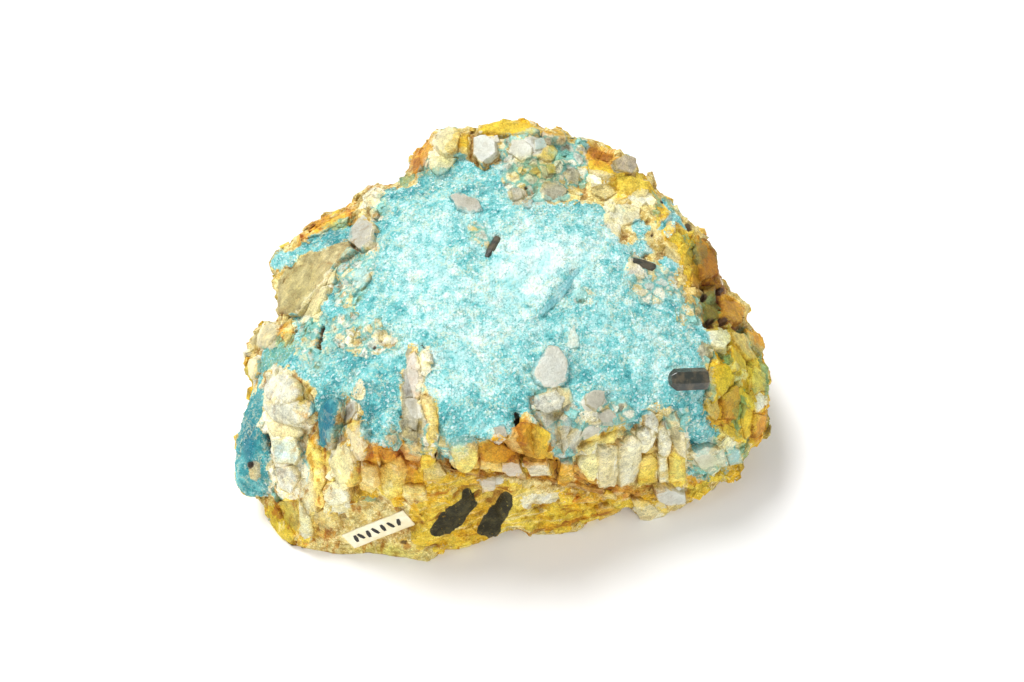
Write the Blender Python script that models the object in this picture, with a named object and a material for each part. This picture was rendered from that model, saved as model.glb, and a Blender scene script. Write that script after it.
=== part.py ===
# A rough mineral specimen: a blue drusy crust over a broken block of quartz and
# iron-stained matrix, lying flat, with a small paper label on its front flank.
# All lengths are in millimetres here and become metres when a mesh is made.
# X runs along the length, -Y is the front, Z is up from the table.

import math

import bmesh
import bpy
import numpy as np
from mathutils import Matrix, Vector, geometry, noise

for old in list(bpy.data.objects):
    bpy.data.objects.remove(old, do_unlink=True)

MM = 0.001

# Fixes the directions in which the small faces of the stone lean, so that each
# build gives the same stone.
LEAN_SEED = 1795637306
noise.seed_set(LEAN_SEED)

# Sighting frame: the outline and the relief are laid out along lines of sight
# that leave one eye point and fall by SIGHT_ELEVATION, on a plane SIGHT_PLANE
# away. The names with PX hold places on that plane in pixels, 7 to the mm.
SIGHT_ELEVATION = math.radians(51.5)
SIGHT_PLANE = 180.0
EYE = np.array([0.0, -121.0, 152.1])
PX_CENTRE = (512.0, 341.0)
PX_PER_MM = 7.0
SIGHT_IN = np.array([0.0, math.cos(SIGHT_ELEVATION), -math.sin(SIGHT_ELEVATION)])
SIGHT_RIGHT = np.array([1.0, 0.0, 0.0])
SIGHT_UP = np.array([0.0, math.sin(SIGHT_ELEVATION), math.cos(SIGHT_ELEVATION)])

# Outline of the stone, anticlockwise from the top left: pixel x, pixel y, and
# the height above the table in mm of the edge at that point.
OUTLINE_PX = [
    (445, 127, 29.5), (438, 131, 29.0), (431, 134, 28.0), (427, 138, 27.5),
    (422, 146, 27.2), (413, 157, 26.8), (410, 167, 26.8), (408, 176, 27.0),
    (400, 187, 27.2), (390, 190, 27.0), (378, 189, 26.5), (371, 193, 26.0),
    (364, 195, 25.5), (358, 207, 25.2), (345, 211, 24.6), (338, 216, 24.2),
    (322, 223, 23.4), (303, 235, 22.2), (293, 246, 21.2), (279, 253, 20.0),
    (273, 258, 19.0), (272, 264, 18.6), (278, 276, 18.4), (275, 281, 18.0),
    (279, 300, 17.4), (279, 325, 16.8), (268, 322, 14.6), (262, 325, 14.0),
    (259, 332, 13.8), (257, 347, 13.4), (260, 355, 13.4), (251, 356, 11.8),
    (248, 362, 11.4), (248, 370, 11.2), (251, 378, 11.2), (255, 386, 11.5),
    (250, 402, 10.8), (244, 413, 10.2), (237, 434, 9.4), (236, 445, 8.8),
    (236, 455, 8.0), (233, 472, 6.8), (234, 481, 6.0), (237, 490, 5.0),
    (246, 498, 3.6), (256, 496, 4.2), (263, 508, 3.2), (269, 522, 2.2),
    (274, 529, 1.6), (281, 536, 1.0), (287, 543, 0.4), (289, 549, 0.0),
    (300, 550, 0.0), (325, 554, 0.0), (342, 557, 0.0), (370, 555, 0.0),
    (400, 559, 0.0), (432, 561, 0.0), (437, 559, 0.0), (441, 549, 1.2),
    (452, 550, 0.8), (468, 546, 1.2), (480, 541, 1.6), (492, 537, 2.0),
    (501, 530, 2.8), (520, 528, 2.6), (528, 532, 1.6), (547, 537, 0.0),
    (568, 533, 0.3), (582, 531, 0.2), (586, 524, 1.4), (591, 520, 2.0),
    (608, 518, 1.8), (614, 512, 2.8), (622, 510, 2.8), (627, 507, 3.2),
    (631, 508, 2.6), (638, 516, 0.8), (642, 520, 0.0), (649, 523, 0.0),
    (656, 520, 0.0), (666, 516, 0.4), (667, 512, 1.0), (676, 511, 0.8),
    (687, 503, 1.6), (697, 496, 2.2), (714, 482, 3.6), (721, 479, 3.8),
    (730, 479, 3.4), (738, 475, 3.8), (743, 463, 5.6), (745, 456, 6.6),
    (751, 447, 7.8), (757, 443, 8.0), (760, 436, 9.0), (765, 427, 10.0),
    (766, 415, 11.0), (768, 390, 12.5), (768, 378, 13.0), (766, 370, 13.4),
    (762, 357, 13.8), (766, 345, 12.6), (764, 339, 12.4), (760, 335, 12.8),
    (743, 329, 15.2), (742, 318, 16.2), (745, 310, 16.4), (738, 303, 17.0),
    (727, 292, 17.6), (724, 283, 17.8), (718, 270, 18.6), (717, 258, 19.0),
    (714, 248, 19.6), (710, 241, 20.2), (694, 227, 22.0), (680, 212, 23.4),
    (675, 207, 23.6), (666, 195, 24.8), (654, 190, 26.0), (653, 184, 26.4),
    (643, 177, 27.0), (636, 175, 27.4), (638, 166, 27.3), (632, 155, 28.2),
    (624, 155, 28.4), (610, 149, 29.0), (595, 143, 29.6), (588, 141, 29.8),
    (567, 141, 30.2), (567, 137, 30.2), (556, 130, 30.6), (540, 130, 30.8),
    (537, 126, 31.0), (521, 121, 31.2), (502, 121, 31.2), (496, 124, 31.0),
    (480, 128, 30.6), (470, 133, 30.0), (462, 133, 29.8), (455, 129, 29.8),
]

# Heights inside the outline, in the same three numbers.
RELIEF_PX = [
    # back rim of the top face
    (450, 150, 30.0), (480, 152, 30.6), (525, 150, 31.0), (560, 158, 30.0),
    (600, 160, 29.2), (622, 165, 28.4), (425, 172, 28.2), (470, 172, 29.9),
    (530, 180, 29.8), (590, 185, 28.4), (640, 195, 26.6), (655, 215, 26.2),
    # drusy face
    (400, 205, 28.2), (450, 210, 29.2), (510, 215, 29.3), (560, 225, 28.8),
    (610, 230, 27.7), (380, 240, 27.6), (440, 260, 28.4), (500, 265, 28.3),
    (560, 262, 28.3), (610, 270, 27.0), (650, 262, 26.0), (675, 290, 24.0),
    (355, 290, 25.8), (400, 305, 26.8), (455, 310, 27.2), (520, 315, 26.7),
    (575, 320, 25.9), (635, 325, 24.6), (690, 330, 22.4), (340, 330, 24.4),
    (375, 360, 24.8), (425, 360, 25.4), (480, 365, 25.3), (540, 365, 24.6),
    (590, 370, 23.6), (640, 372, 22.8), (690, 378, 21.2), (355, 400, 23.0),
    (395, 405, 23.6), (450, 405, 24.2), (500, 400, 24.0), (560, 400, 22.9),
    (610, 400, 21.8), (660, 400, 20.6), (700, 405, 19.2),
    # left upper slab edge, falling away to the left
    (372, 212, 26.2), (350, 225, 25.0), (325, 238, 23.8), (295, 258, 21.2),
    (345, 250, 25.0), (365, 240, 26.4), (335, 268, 24.6), (320, 295, 23.6),
    (300, 315, 20.4), (285, 290, 18.6), (300, 268, 21.0), (300, 340, 21.4),
    (270, 338, 14.6), (282, 345, 18.4), (262, 372, 13.6), (257, 366, 12.2),
    # left front flank
    (320, 350, 22.6), (285, 368, 20.4), (330, 390, 21.4), (285, 400, 17.8),
    (312, 415, 18.8), (262, 400, 13.6), (246, 430, 11.2), (262, 440, 13.0),
    (290, 435, 14.6), (312, 450, 14.2), (330, 432, 18.6), (330, 455, 15.6),
    (250, 470, 8.6), (268, 470, 9.8), (290, 475, 10.2), (272, 500, 5.4),
    (300, 505, 7.0), (275, 522, 2.6), (300, 538, 2.0), (330, 500, 9.8),
    (330, 540, 2.6), (355, 430, 21.2), (355, 470, 16.0), (350, 510, 8.6),
    # front flank, left to right
    (375, 442, 22.2), (385, 470, 17.2), (385, 505, 10.6), (415, 438, 22.6),
    (420, 470, 17.4), (430, 500, 11.6), (430, 540, 3.8), (455, 442, 22.4),
    (465, 465, 18.0), (465, 480, 14.6), (470, 510, 7.8), (500, 440, 22.2),
    (500, 466, 17.2), (505, 482, 13.0), (510, 508, 7.0), (530, 415, 22.8),
    (530, 440, 20.6), (540, 470, 15.0), (545, 486, 10.8), (545, 515, 4.4),
    (560, 440, 19.6), (562, 468, 13.6), (575, 430, 20.4), (585, 480, 9.4),
    (580, 505, 5.2), (590, 445, 16.8), (605, 425, 19.8), (605, 470, 11.0),
    (612, 490, 6.6), (625, 440, 16.2), (630, 480, 7.8), (635, 500, 4.6),
    (648, 415, 19.4), (650, 450, 13.0), (655, 485, 6.4), (660, 503, 3.2),
    (675, 418, 18.2), (682, 455, 11.0), (680, 485, 5.6), (700, 430, 16.8),
    (705, 460, 9.6), (702, 482, 4.8), (722, 445, 11.4), (730, 465, 6.2),
    # right mass, big facets falling to the right
    (715, 335, 20.8), (730, 340, 18.8), (748, 345, 15.8), (712, 355, 20.4),
    (735, 365, 18.4), (755, 375, 15.2), (720, 380, 19.8), (735, 385, 17.6),
    (750, 395, 14.6), (712, 410, 17.8), (730, 410, 15.6), (745, 425, 12.4),
    (722, 430, 14.4), (757, 410, 12.8), (740, 445, 9.8), (756, 345, 14.0),
    # right upper rim, falling to the right and back
    (665, 235, 25.4), (672, 262, 24.4), (690, 250, 22.6), (705, 262, 20.8),
    (690, 285, 22.6), (705, 295, 20.6), (716, 290, 18.8), (703, 315, 21.2),
    (722, 312, 18.8), (733, 322, 17.4), (670, 212, 24.8), (682, 228, 23.4),
]

# Fused lumps and crystals: pixel x, pixel y, half length, half width in pixels,
# turn in degrees, height in mm, and how flat the top is (0 dome, 1 block).
LUMPS_PX = [
    (486, 149, 15, 12, 70, 0.6, 0.4), (526, 148, 21, 11, 0, 0.5, 0.3),
    (442, 146, 18, 11, 60, 1.1, 0.8), (463, 143, 11, 7, 60, 0.9, 0.6),
    (441, 165, 15, 8, 10, 0.8, 0.5), (420, 160, 18, 6, 65, 0.8, 0.5),
    (508, 128, 31, 7, 0, 0.8, 0.5), (554, 137, 13, 6, -20, 0.7, 0.5),
    (623, 164, 15, 10, 5, 1.3, 0.8), (600, 175, 14, 9, 10, 0.6, 0.3),
    (467, 204, 19, 9, -30, 0.3, 0.6), (518, 196, 13, 7, -60, 0.3, 0.5),
    (372, 202, 13, 7, 35, 0.8, 0.4), (363, 232, 15, 10, 60, 0.6, 0.9),
    (640, 232, 13, 10, 0, 0.4, 0.3), (669, 265, 11, 9, -30, 0.5, 0.3),
    (551, 368, 23, 14, 80, 0.5, 0.7), (686, 379, 19, 10, 4, 0.9, 0.9),
    (592, 401, 14, 10, 10, 0.4, 0.8), (607, 416, 11, 6, 0, 0.3, 0.6),
    (286, 398, 28, 19, 80, 1.2, 0.5), (286, 468, 32, 16, -80, 1.1, 0.6),
    (341, 465, 20, 12, 90, 1.0, 0.4), (339, 502, 13, 11, 90, 0.9, 0.4),
    (306, 520, 20, 8, 80, 0.8, 0.5), (357, 455, 32, 8, -85, 1.0, 0.5),
    (329, 424, 24, 8, 90, 0.7, 0.2), (430, 425, 26, 6, -78, 0.7, 0.4),
    (598, 462, 24, 19, 50, 0.8, 0.9), (622, 455, 27, 9, 75, 0.9, 0.7),
    (649, 433, 18, 8, 80, 0.9, 0.7), (664, 440, 16, 7, -70, 0.8, 0.6),
    (680, 445, 27, 7, -85, 0.8, 0.6), (662, 465, 12, 5, 90, 0.7, 0.5),
    (670, 494, 15, 8, 5, 0.9, 0.5), (706, 461, 15, 10, 10, 0.8, 0.4),
    (464, 456, 13, 13, 0, 0.8, 0.8), (489, 456, 13, 10, 0, 0.7, 0.8),
    (511, 466, 11, 6, 0, 0.6, 0.9), (538, 469, 17, 8, -8, 0.8, 0.9),
    (533, 437, 20, 15, -35, 0.9, 0.8), (755, 344, 12, 9, -35, 1.1, 0.5),
    (494, 483, 13, 7, 0, 0.5, 0.4), (384, 425, 20, 13, 80, 0.6, 0.3),
    (726, 318, 12, 10, 60, 0.7, 0.6), (705, 262, 18, 9, 75, 0.6, 0.6),
]

# Grooves, cracks and ledges: width in pixels, depth in mm, then pixel points.
GROOVES_PX = [
    (8, 0.25, [(580, 263), (562, 290), (538, 322)]),
    (4, 0.15, [(575, 285), (565, 305), (562, 340)]),
    (18, 0.6, [(413, 362), (410, 395), (417, 432)]),
    (13, 0.7, [(352, 404), (347, 424)]),
    (6, 1.1, [(323, 328), (319, 350)]),
    (6, 1.2, [(265, 436), (266, 452)]),
    (5, 0.9, [(270, 455), (273, 468)]),
    (6, 1.0, [(437, 455), (452, 470), (480, 473), (525, 476), (555, 483)]),
    (6, 0.5, [(572, 474), (582, 482), (600, 488), (622, 492), (640, 494)]),
    (7, 1.0, [(516, 414), (517, 427)]),
    (8, 0.7, [(588, 148), (598, 155), (610, 159)]),
    (6, 0.9, [(700, 287), (702, 300)]),
    (5, 0.8, [(704, 325), (724, 328)]),
    (4, 0.8, [(619, 440), (620, 458)]),
    (4, 0.7, [(641, 428), (641, 452)]),
    (4, 0.7, [(656, 418), (655, 440)]),
    (4, 0.7, [(672, 425), (668, 452)]),
    (4, 0.8, [(687, 428), (688, 464)]),
    (4, 0.5, [(712, 352), (706, 388), (703, 402), (708, 422), (717, 432)]),
    (7, 0.6, [(498, 236), (486, 256)]),
    (6, 0.5, [(636, 262), (653, 267)]),
    (4, 0.5, [(340, 345), (375, 335), (395, 332)]),
    (5, 0.6, [(502, 442), (520, 455), (524, 476)]),
    (4, 0.5, [(477, 443), (479, 470)]),
    (5, 0.6, [(300, 432), (312, 452), (325, 485)]),
    (5, 0.5, [(472, 134), (470, 155), (480, 167)]),
    (4, 0.5, [(426, 140), (418, 160), (410, 176)]),
]

LUMP_GAIN = 1.6
GROOVE_GAIN = 1.3

# Hidden sides, each a broken face: bearing and lean of its outward normal in
# degrees, and how far it stands off the outline's outermost point in mm.
HIDDEN_FACES = [
    (92, 9, 0.8), (122, 4, 0.6), (64, 6, 0.7), (34, 3, 0.5), (8, -6, 0.2),
    (150, -6, 0.4), (176, -8, 0.0), (78, -34, 14.0), (130, -38, 9.0),
    (24, -36, 8.0), (190, -40, 0.2), (340, -38, 0.4), (318, -20, 0.4),
    (104, 34, 0.4), (52, 36, 0.6), (140, 38, 0.6), (228, -34, 1.0),
]
RELIEF_SOFTENING = 5
FACE_BLEND = 1.4
RIM_BLEND = 0.7
FLOOR_MARGIN = 2.5

# The surface is found along rays from HEART, then thinned to fewer triangles.
HEART = np.array([0.0, -11.0, 12.5])
MARCH_REACH = 60.0
MARCH_STEP = 0.5
MARCH_HALVINGS = 14
SAMPLE_DIVISIONS = 7
FINAL_TRIANGLES = 12300

# Edge of the drusy face, which is smoother than the broken rock round it.
CRUST_PX = [
    (425, 180), (470, 170), (520, 195), (600, 210), (630, 250), (680, 290), (705, 330),
    (700, 400), (712, 435), (690, 445), (660, 405), (610, 420), (560, 435), (500, 430),
    (440, 440), (400, 435), (340, 400), (270, 360), (330, 310), (340, 265), (385, 200),
]
CRUST_FADE = 1.5

# Roughness in mm: slow swells, and cleavage faces of two sizes, each leaning
# its own way.
ROUGH_WAVE = 6.5
ROUGH_HEIGHT = 0.35
LARGE_FACE = 6.5
LARGE_LEAN = 0.34
SMALL_FACE = 3.0
SMALL_LEAN = 0.30
CRUST_ROUGH = 0.38
RIM_ROUGH = 0.15
RIM_WIDTH = 2.5
RIM_DEPTH = 3.0
HIDDEN_ROUGH = 1.5
HIDDEN_BEHIND = 1.0
GRAIN_SHUFFLE = 7.3
BEVEL_PASSES = 2

# Paper label on the front flank.
LABEL_PX = [(340.8, 534.7), (403.9, 510.1), (414.4, 522.8), (355.5, 548.0)]
LABEL_HEIGHT_AT_MIDDLE = 5.0
LABEL_LEAN = math.radians(7.0)
LABEL_BEARING = math.radians(7.6)
LABEL_THICKNESS = 0.2
LABEL_GAP = 0.3
LABEL_SEAT_MARGIN = 0.5
LABEL_SEAT_FADE = 1.2

# Raster on the sight plane on which outline and relief are laid out, mm.
RASTER_STEP = 0.2
RASTER_U = (-44.0, 41.0)
RASTER_V = (-36.0, 36.0)


def to_plane(px, py):
    return (px - PX_CENTRE[0]) / PX_PER_MM, (PX_CENTRE[1] - py) / PX_PER_MM


def sight_line(u, v):
    return SIGHT_PLANE * SIGHT_IN + u * SIGHT_RIGHT + v * SIGHT_UP


def depth_at_height(u, v, height):
    """Depth toward the eye at which the line of sight stands at this height."""
    line = sight_line(u, v)
    return SIGHT_PLANE * (1.0 - (height - EYE[2]) / line[2])


def world_point(u, v, depth):
    return EYE + (1.0 - depth / SIGHT_PLANE) * sight_line(u, v)


def smooth_max(a, b, radius):
    reach = np.clip(radius - np.abs(a - b), 0.0, None) / radius
    return np.maximum(a, b) + reach * reach * radius * 0.25


def segment_distance(gu, gv, start, end):
    du, dv = end[0] - start[0], end[1] - start[1]
    along = ((gu - start[0]) * du + (gv - start[1]) * dv) / (du * du + dv * dv)
    along = np.clip(along, 0.0, 1.0)
    return np.hypot(gu - start[0] - along * du, gv - start[1] - along * dv)


def signed_outline(gu, gv, ring):
    """Distance to the outline on the sight plane, negative inside it."""
    nearest = np.full(gu.shape, 1e9)
    inside = np.zeros(gu.shape, dtype=bool)
    for i, end in enumerate(ring):
        start = ring[i - 1]
        nearest = np.minimum(nearest, segment_distance(gu, gv, start, end))
        crosses = (start[1] > gv) != (end[1] > gv)
        rise = end[1] - start[1]
        rise = rise if abs(rise) > 1e-9 else 1e-9
        at = start[0] + (gv - start[1]) * (end[0] - start[0]) / rise
        inside ^= crosses & (gu < at)
    return np.where(inside, -nearest, nearest)


def facet_relief(gu, gv, points):
    """Depth of the flat facets spanned by the chosen heights."""
    flat = [Vector((p[0], p[1])) for p in points]
    made = geometry.delaunay_2d_cdt(flat, [], [], 0, 1e-4)
    depth = np.full(gu.shape, np.nan)
    for face in made[2]:
        a, b, c = [points[made[3][i][0]] for i in face]
        det = (b[1] - c[1]) * (a[0] - c[0]) + (c[0] - b[0]) * (a[1] - c[1])
        if abs(det) < 1e-6:
            continue
        wa = ((b[1] - c[1]) * (gu - c[0]) + (c[0] - b[0]) * (gv - c[1])) / det
        wb = ((c[1] - a[1]) * (gu - c[0]) + (a[0] - c[0]) * (gv - c[1])) / det
        wc = 1.0 - wa - wb
        hit = (wa > -1e-3) & (wb > -1e-3) & (wc > -1e-3)
        value = wa * a[2] + wb * b[2] + wc * c[2]
        depth = np.where(hit & np.isnan(depth), value, depth)
    return spread_outward(depth)


def spread_outward(depth):
    """Carry the rim values outward over the empty part of the raster."""
    while np.isnan(depth).any():
        total = np.zeros(depth.shape)
        count = np.zeros(depth.shape)
        padded = np.pad(depth, 1, constant_values=np.nan)
        for di, dj in ((0, 1), (2, 1), (1, 0), (1, 2)):
            near = padded[di:di + depth.shape[0], dj:dj + depth.shape[1]]
            known = ~np.isnan(near)
            total += np.where(known, near, 0.0)
            count += known
        fill = np.isnan(depth) & (count > 0)
        depth = np.where(fill, total / np.maximum(count, 1), depth)
    return depth


def soften(field, passes):
    for _ in range(passes):
        padded = np.pad(field, 1, mode="edge")
        field = (
            padded[1:-1, 1:-1] * 2
            + padded[:-2, 1:-1] + padded[2:, 1:-1]
            + padded[1:-1, :-2] + padded[1:-1, 2:]
        ) / 6
    return field


def add_lumps(depth, gu, gv):
    for px, py, long, wide, turn, height, flat in LUMPS_PX:
        u0, v0 = to_plane(px, py)
        c, s = math.cos(math.radians(turn)), math.sin(math.radians(turn))
        along = ((gu - u0) * c + (gv - v0) * s) * PX_PER_MM / long
        across = ((gv - v0) * c - (gu - u0) * s) * PX_PER_MM / wide
        dome = np.clip(1.0 - along ** 2 - across ** 2, 0.0, 1.0)
        block = np.clip(3.0 * (1.0 - np.maximum(abs(along), abs(across))), 0.0, 1.0)
        depth = depth + LUMP_GAIN * height * ((1 - flat) * dome + flat * block)
    return depth


def cut_grooves(depth, gu, gv):
    for width, deep, line in GROOVES_PX:
        points = [to_plane(*p) for p in line]
        near = np.full(gu.shape, 1e9)
        for start, end in zip(points[:-1], points[1:]):
            near = np.minimum(near, segment_distance(gu, gv, start, end))
        half = 0.5 * width / PX_PER_MM
        depth = depth - GROOVE_GAIN * deep * np.clip(1.3 - near / half, 0.0, 1.0)
    return depth


def label_frame():
    """Middle, outward normal and corners of the label's seat on the flank."""
    lean, bearing = LABEL_LEAN, LABEL_BEARING
    normal = np.array([
        math.sin(bearing) * math.cos(lean),
        -math.cos(bearing) * math.cos(lean),
        math.sin(lean),
    ])
    middle = np.mean([to_plane(*p) for p in LABEL_PX], axis=0)
    depth = depth_at_height(middle[0], middle[1], LABEL_HEIGHT_AT_MIDDLE)
    seat = world_point(middle[0], middle[1], depth)
    corners = []
    for corner in LABEL_PX:
        line = sight_line(*to_plane(*corner))
        reach = np.dot(seat - EYE, normal) / np.dot(line, normal)
        corners.append(EYE + reach * line)
    return seat, normal, corners


def label_axes(normal, corners):
    run = corners[1] - corners[0] + corners[2] - corners[3]
    run /= np.linalg.norm(run)
    rise = np.cross(normal, run)
    rise /= np.linalg.norm(rise)
    length = 0.5 * np.dot(corners[1] - corners[0] + corners[2] - corners[3], run)
    height = 0.5 * abs(np.dot(corners[3] - corners[0] + corners[2] - corners[1], rise))
    return run, rise, length, height


def seat_label(depth, gu, gv, seat, normal):
    """Flatten the flank behind the label."""
    ring = [to_plane(*p) for p in LABEL_PX]
    away = signed_outline(gu, gv, ring) - LABEL_SEAT_MARGIN
    line_n = (
        SIGHT_PLANE * np.dot(SIGHT_IN, normal)
        + gu * np.dot(SIGHT_RIGHT, normal)
        + gv * np.dot(SIGHT_UP, normal)
    )
    plane = SIGHT_PLANE * (1.0 - np.dot(seat - EYE, normal) / line_n)
    keep = np.clip(away / LABEL_SEAT_FADE, 0.0, 1.0)
    return keep * depth + (1.0 - keep) * plane, keep


def crust_calm(gu, gv):
    """How rough the seen side is: less on the drusy face than round it."""
    within = -signed_outline(gu, gv, [to_plane(*p) for p in CRUST_PX])
    on_crust = np.clip(0.5 + within / CRUST_FADE, 0.0, 1.0)
    return 1.0 - (1.0 - CRUST_ROUGH) * on_crust


class Raster:
    def __init__(self):
        self.u = np.arange(RASTER_U[0], RASTER_U[1], RASTER_STEP)
        self.v = np.arange(RASTER_V[0], RASTER_V[1], RASTER_STEP)
        self.gu, self.gv = np.meshgrid(self.u, self.v)

    def sample(self, field, u, v):
        fu = np.clip((u - self.u[0]) / RASTER_STEP, 0, len(self.u) - 1.001)
        fv = np.clip((v - self.v[0]) / RASTER_STEP, 0, len(self.v) - 1.001)
        iu, iv = fu.astype(int), fv.astype(int)
        tu, tv = fu - iu, fv - iv
        low = field[iv, iu] * (1 - tu) + field[iv, iu + 1] * tu
        high = field[iv + 1, iu] * (1 - tu) + field[iv + 1, iu + 1] * tu
        return low * (1 - tv) + high * tv


def hidden_planes(ring_world):
    planes = []
    for bearing, lean, standoff in HIDDEN_FACES:
        b, t = math.radians(bearing), math.radians(lean)
        normal = np.array([
            math.cos(t) * math.cos(b), math.cos(t) * math.sin(b), math.sin(t),
        ])
        planes.append((normal, max(ring_world @ normal) + standoff))
    return planes


def build_fields(raster, seat, normal):
    ring = []
    for px, py, height in OUTLINE_PX:
        u, v = to_plane(px, py)
        ring.append((u, v, depth_at_height(u, v, height)))
    points = list(ring)
    for px, py, height in RELIEF_PX:
        u, v = to_plane(px, py)
        points.append((u, v, depth_at_height(u, v, height)))
    outline = signed_outline(raster.gu, raster.gv, ring)
    depth = soften(facet_relief(raster.gu, raster.gv, points), RELIEF_SOFTENING)
    depth = cut_grooves(add_lumps(depth, raster.gu, raster.gv), raster.gu, raster.gv)
    depth, away = seat_label(depth, raster.gu, raster.gv, seat, normal)
    rough = away * crust_calm(raster.gu, raster.gv)
    ring_world = np.array([world_point(*p) for p in ring])
    return outline, depth, rough, hidden_planes(ring_world)


def inside_value(points, raster, outline, depth, planes):
    """Negative inside the stone, positive outside it, about in mm."""
    seen = points - EYE
    ahead = seen @ SIGHT_IN
    u = SIGHT_PLANE * (seen @ SIGHT_RIGHT) / ahead
    v = SIGHT_PLANE * (seen @ SIGHT_UP) / ahead
    side = raster.sample(outline, u, v)
    front = (SIGHT_PLANE - ahead) - raster.sample(depth, u, v)
    value = smooth_max(side, front, RIM_BLEND)
    back = points @ planes[0][0] - planes[0][1]
    for plane_normal, offset in planes[1:]:
        back = smooth_max(back, points @ plane_normal - offset, FACE_BLEND)
    value = smooth_max(value, back, RIM_BLEND)
    return np.maximum(value, -points[:, 2] - FLOOR_MARGIN)


def surface_radii(rays, raster, outline, depth, planes):
    """First way out of the stone along each ray from its heart."""
    low = np.zeros(len(rays))
    high = np.full(len(rays), MARCH_REACH)
    found = np.zeros(len(rays), dtype=bool)
    for reach in np.arange(MARCH_STEP, MARCH_REACH, MARCH_STEP):
        value = inside_value(HEART + rays * reach, raster, outline, depth, planes)
        out = (value > 0) & ~found
        high[out] = reach
        low[out] = reach - MARCH_STEP
        found |= out
    for _ in range(MARCH_HALVINGS):
        middle = 0.5 * (low + high)
        value = inside_value(HEART + rays * middle[:, None], raster, outline, depth, planes)
        low = np.where(value > 0, low, middle)
        high = np.where(value > 0, middle, high)
    return 0.5 * (low + high)


def cleavage(at, size, lean):
    """Height of a small flat face that leans its own way in each grain."""
    place = at / size
    middle = noise.voronoi(place)[1][0]
    slope = noise.noise_vector(middle * GRAIN_SHUFFLE)
    return (place - middle).dot(slope) * size * lean


def roughness(point):
    at = Vector(point)
    swell = noise.fractal(at / ROUGH_WAVE, 0.9, 2.1, 3)
    faces = cleavage(at, LARGE_FACE, LARGE_LEAN) + cleavage(at, SMALL_FACE, SMALL_LEAN)
    return ROUGH_HEIGHT * swell + faces


def even_out(values, edges, passes):
    """Blunt the steps between neighbouring faces."""
    size = len(values)
    links = np.bincount(edges.ravel(), minlength=size)
    for _ in range(passes):
        total = np.bincount(edges[:, 0], values[edges[:, 1]], size)
        total += np.bincount(edges[:, 1], values[edges[:, 0]], size)
        values = 0.5 * values + 0.5 * total / links
    return values


def make_material(name, colour, rough):
    material = bpy.data.materials.new(name)
    material.use_nodes = True
    shader = material.node_tree.nodes["Principled BSDF"]
    shader.inputs["Base Color"].default_value = (*colour, 1.0)
    shader.inputs["Roughness"].default_value = rough
    material.diffuse_color = (*colour, 1.0)
    return material


def add_object(name, mesh, material):
    mesh.materials.clear()
    mesh.materials.append(material)
    made = bpy.data.objects.new(name, mesh)
    bpy.context.scene.collection.objects.link(made)
    return made


def rough_stone(raster, outline, depth, rough, planes):
    bm = bmesh.new()
    bmesh.ops.create_icosphere(bm, subdivisions=SAMPLE_DIVISIONS, radius=1.0)
    bm.verts.ensure_lookup_table()
    rays = np.array([v.co[:] for v in bm.verts])
    rays /= np.linalg.norm(rays, axis=1)[:, None]
    radii = surface_radii(rays, raster, outline, depth, planes)
    places = HEART + rays * radii[:, None]
    seen = places - EYE
    ahead = seen @ SIGHT_IN
    u = SIGHT_PLANE * (seen @ SIGHT_RIGHT) / ahead
    v = SIGHT_PLANE * (seen @ SIGHT_UP) / ahead
    calm = raster.sample(rough, u, v)
    edge = raster.sample(outline, u, v)
    behind = raster.sample(depth, u, v) - (SIGHT_PLANE - ahead)
    strength = np.where(behind < HIDDEN_BEHIND, calm, HIDDEN_ROUGH)
    rim = np.clip(-edge / RIM_WIDTH, RIM_ROUGH, 1.0)
    strength *= np.where(behind < RIM_DEPTH, rim, 1.0)
    rise = strength * np.array([roughness(p) for p in places])
    edges = np.array([(e.verts[0].index, e.verts[1].index) for e in bm.edges])
    places += rays * even_out(rise, edges, BEVEL_PASSES)[:, None]
    for vert, place in zip(bm.verts, places):
        vert.co = Vector(place)
    mesh = bpy.data.meshes.new("stone_raw")
    bm.to_mesh(mesh)
    bm.free()
    return mesh


def thin_out(mesh, triangles):
    """Keep the shape with fewer, larger triangles."""
    holder = bpy.data.objects.new("thin_out", mesh)
    bpy.context.scene.collection.objects.link(holder)
    modifier = holder.modifiers.new("fewer", "DECIMATE")
    modifier.ratio = triangles / len(mesh.polygons)
    graph = bpy.context.evaluated_depsgraph_get()
    result = bpy.data.meshes.new_from_object(holder.evaluated_get(graph))
    bpy.data.objects.remove(holder, do_unlink=True)
    return result


def flat_foot(mesh):
    """Cut the stone off level with the table."""
    bm = bmesh.new()
    bm.from_mesh(mesh)
    everything = bm.verts[:] + bm.edges[:] + bm.faces[:]
    bmesh.ops.bisect_plane(
        bm, geom=everything, dist=1e-3, plane_co=(0, 0, 0), plane_no=(0, 0, -1),
        clear_outer=True,
    )
    bmesh.ops.dissolve_degenerate(bm, dist=0.02, edges=bm.edges[:])
    rim = [e for e in bm.edges if e.is_boundary]
    bmesh.ops.holes_fill(bm, edges=rim, sides=0)
    bmesh.ops.triangulate(bm, faces=bm.faces[:])
    bmesh.ops.recalc_face_normals(bm, faces=bm.faces[:])
    bm.to_mesh(mesh)
    bm.free()
    return mesh


def bottom_centre(mesh):
    places = np.array([v.co[:] for v in mesh.vertices])
    low, high = places.min(axis=0), places.max(axis=0)
    return np.array([(low[0] + high[0]) / 2, (low[1] + high[1]) / 2, low[2]])


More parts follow.
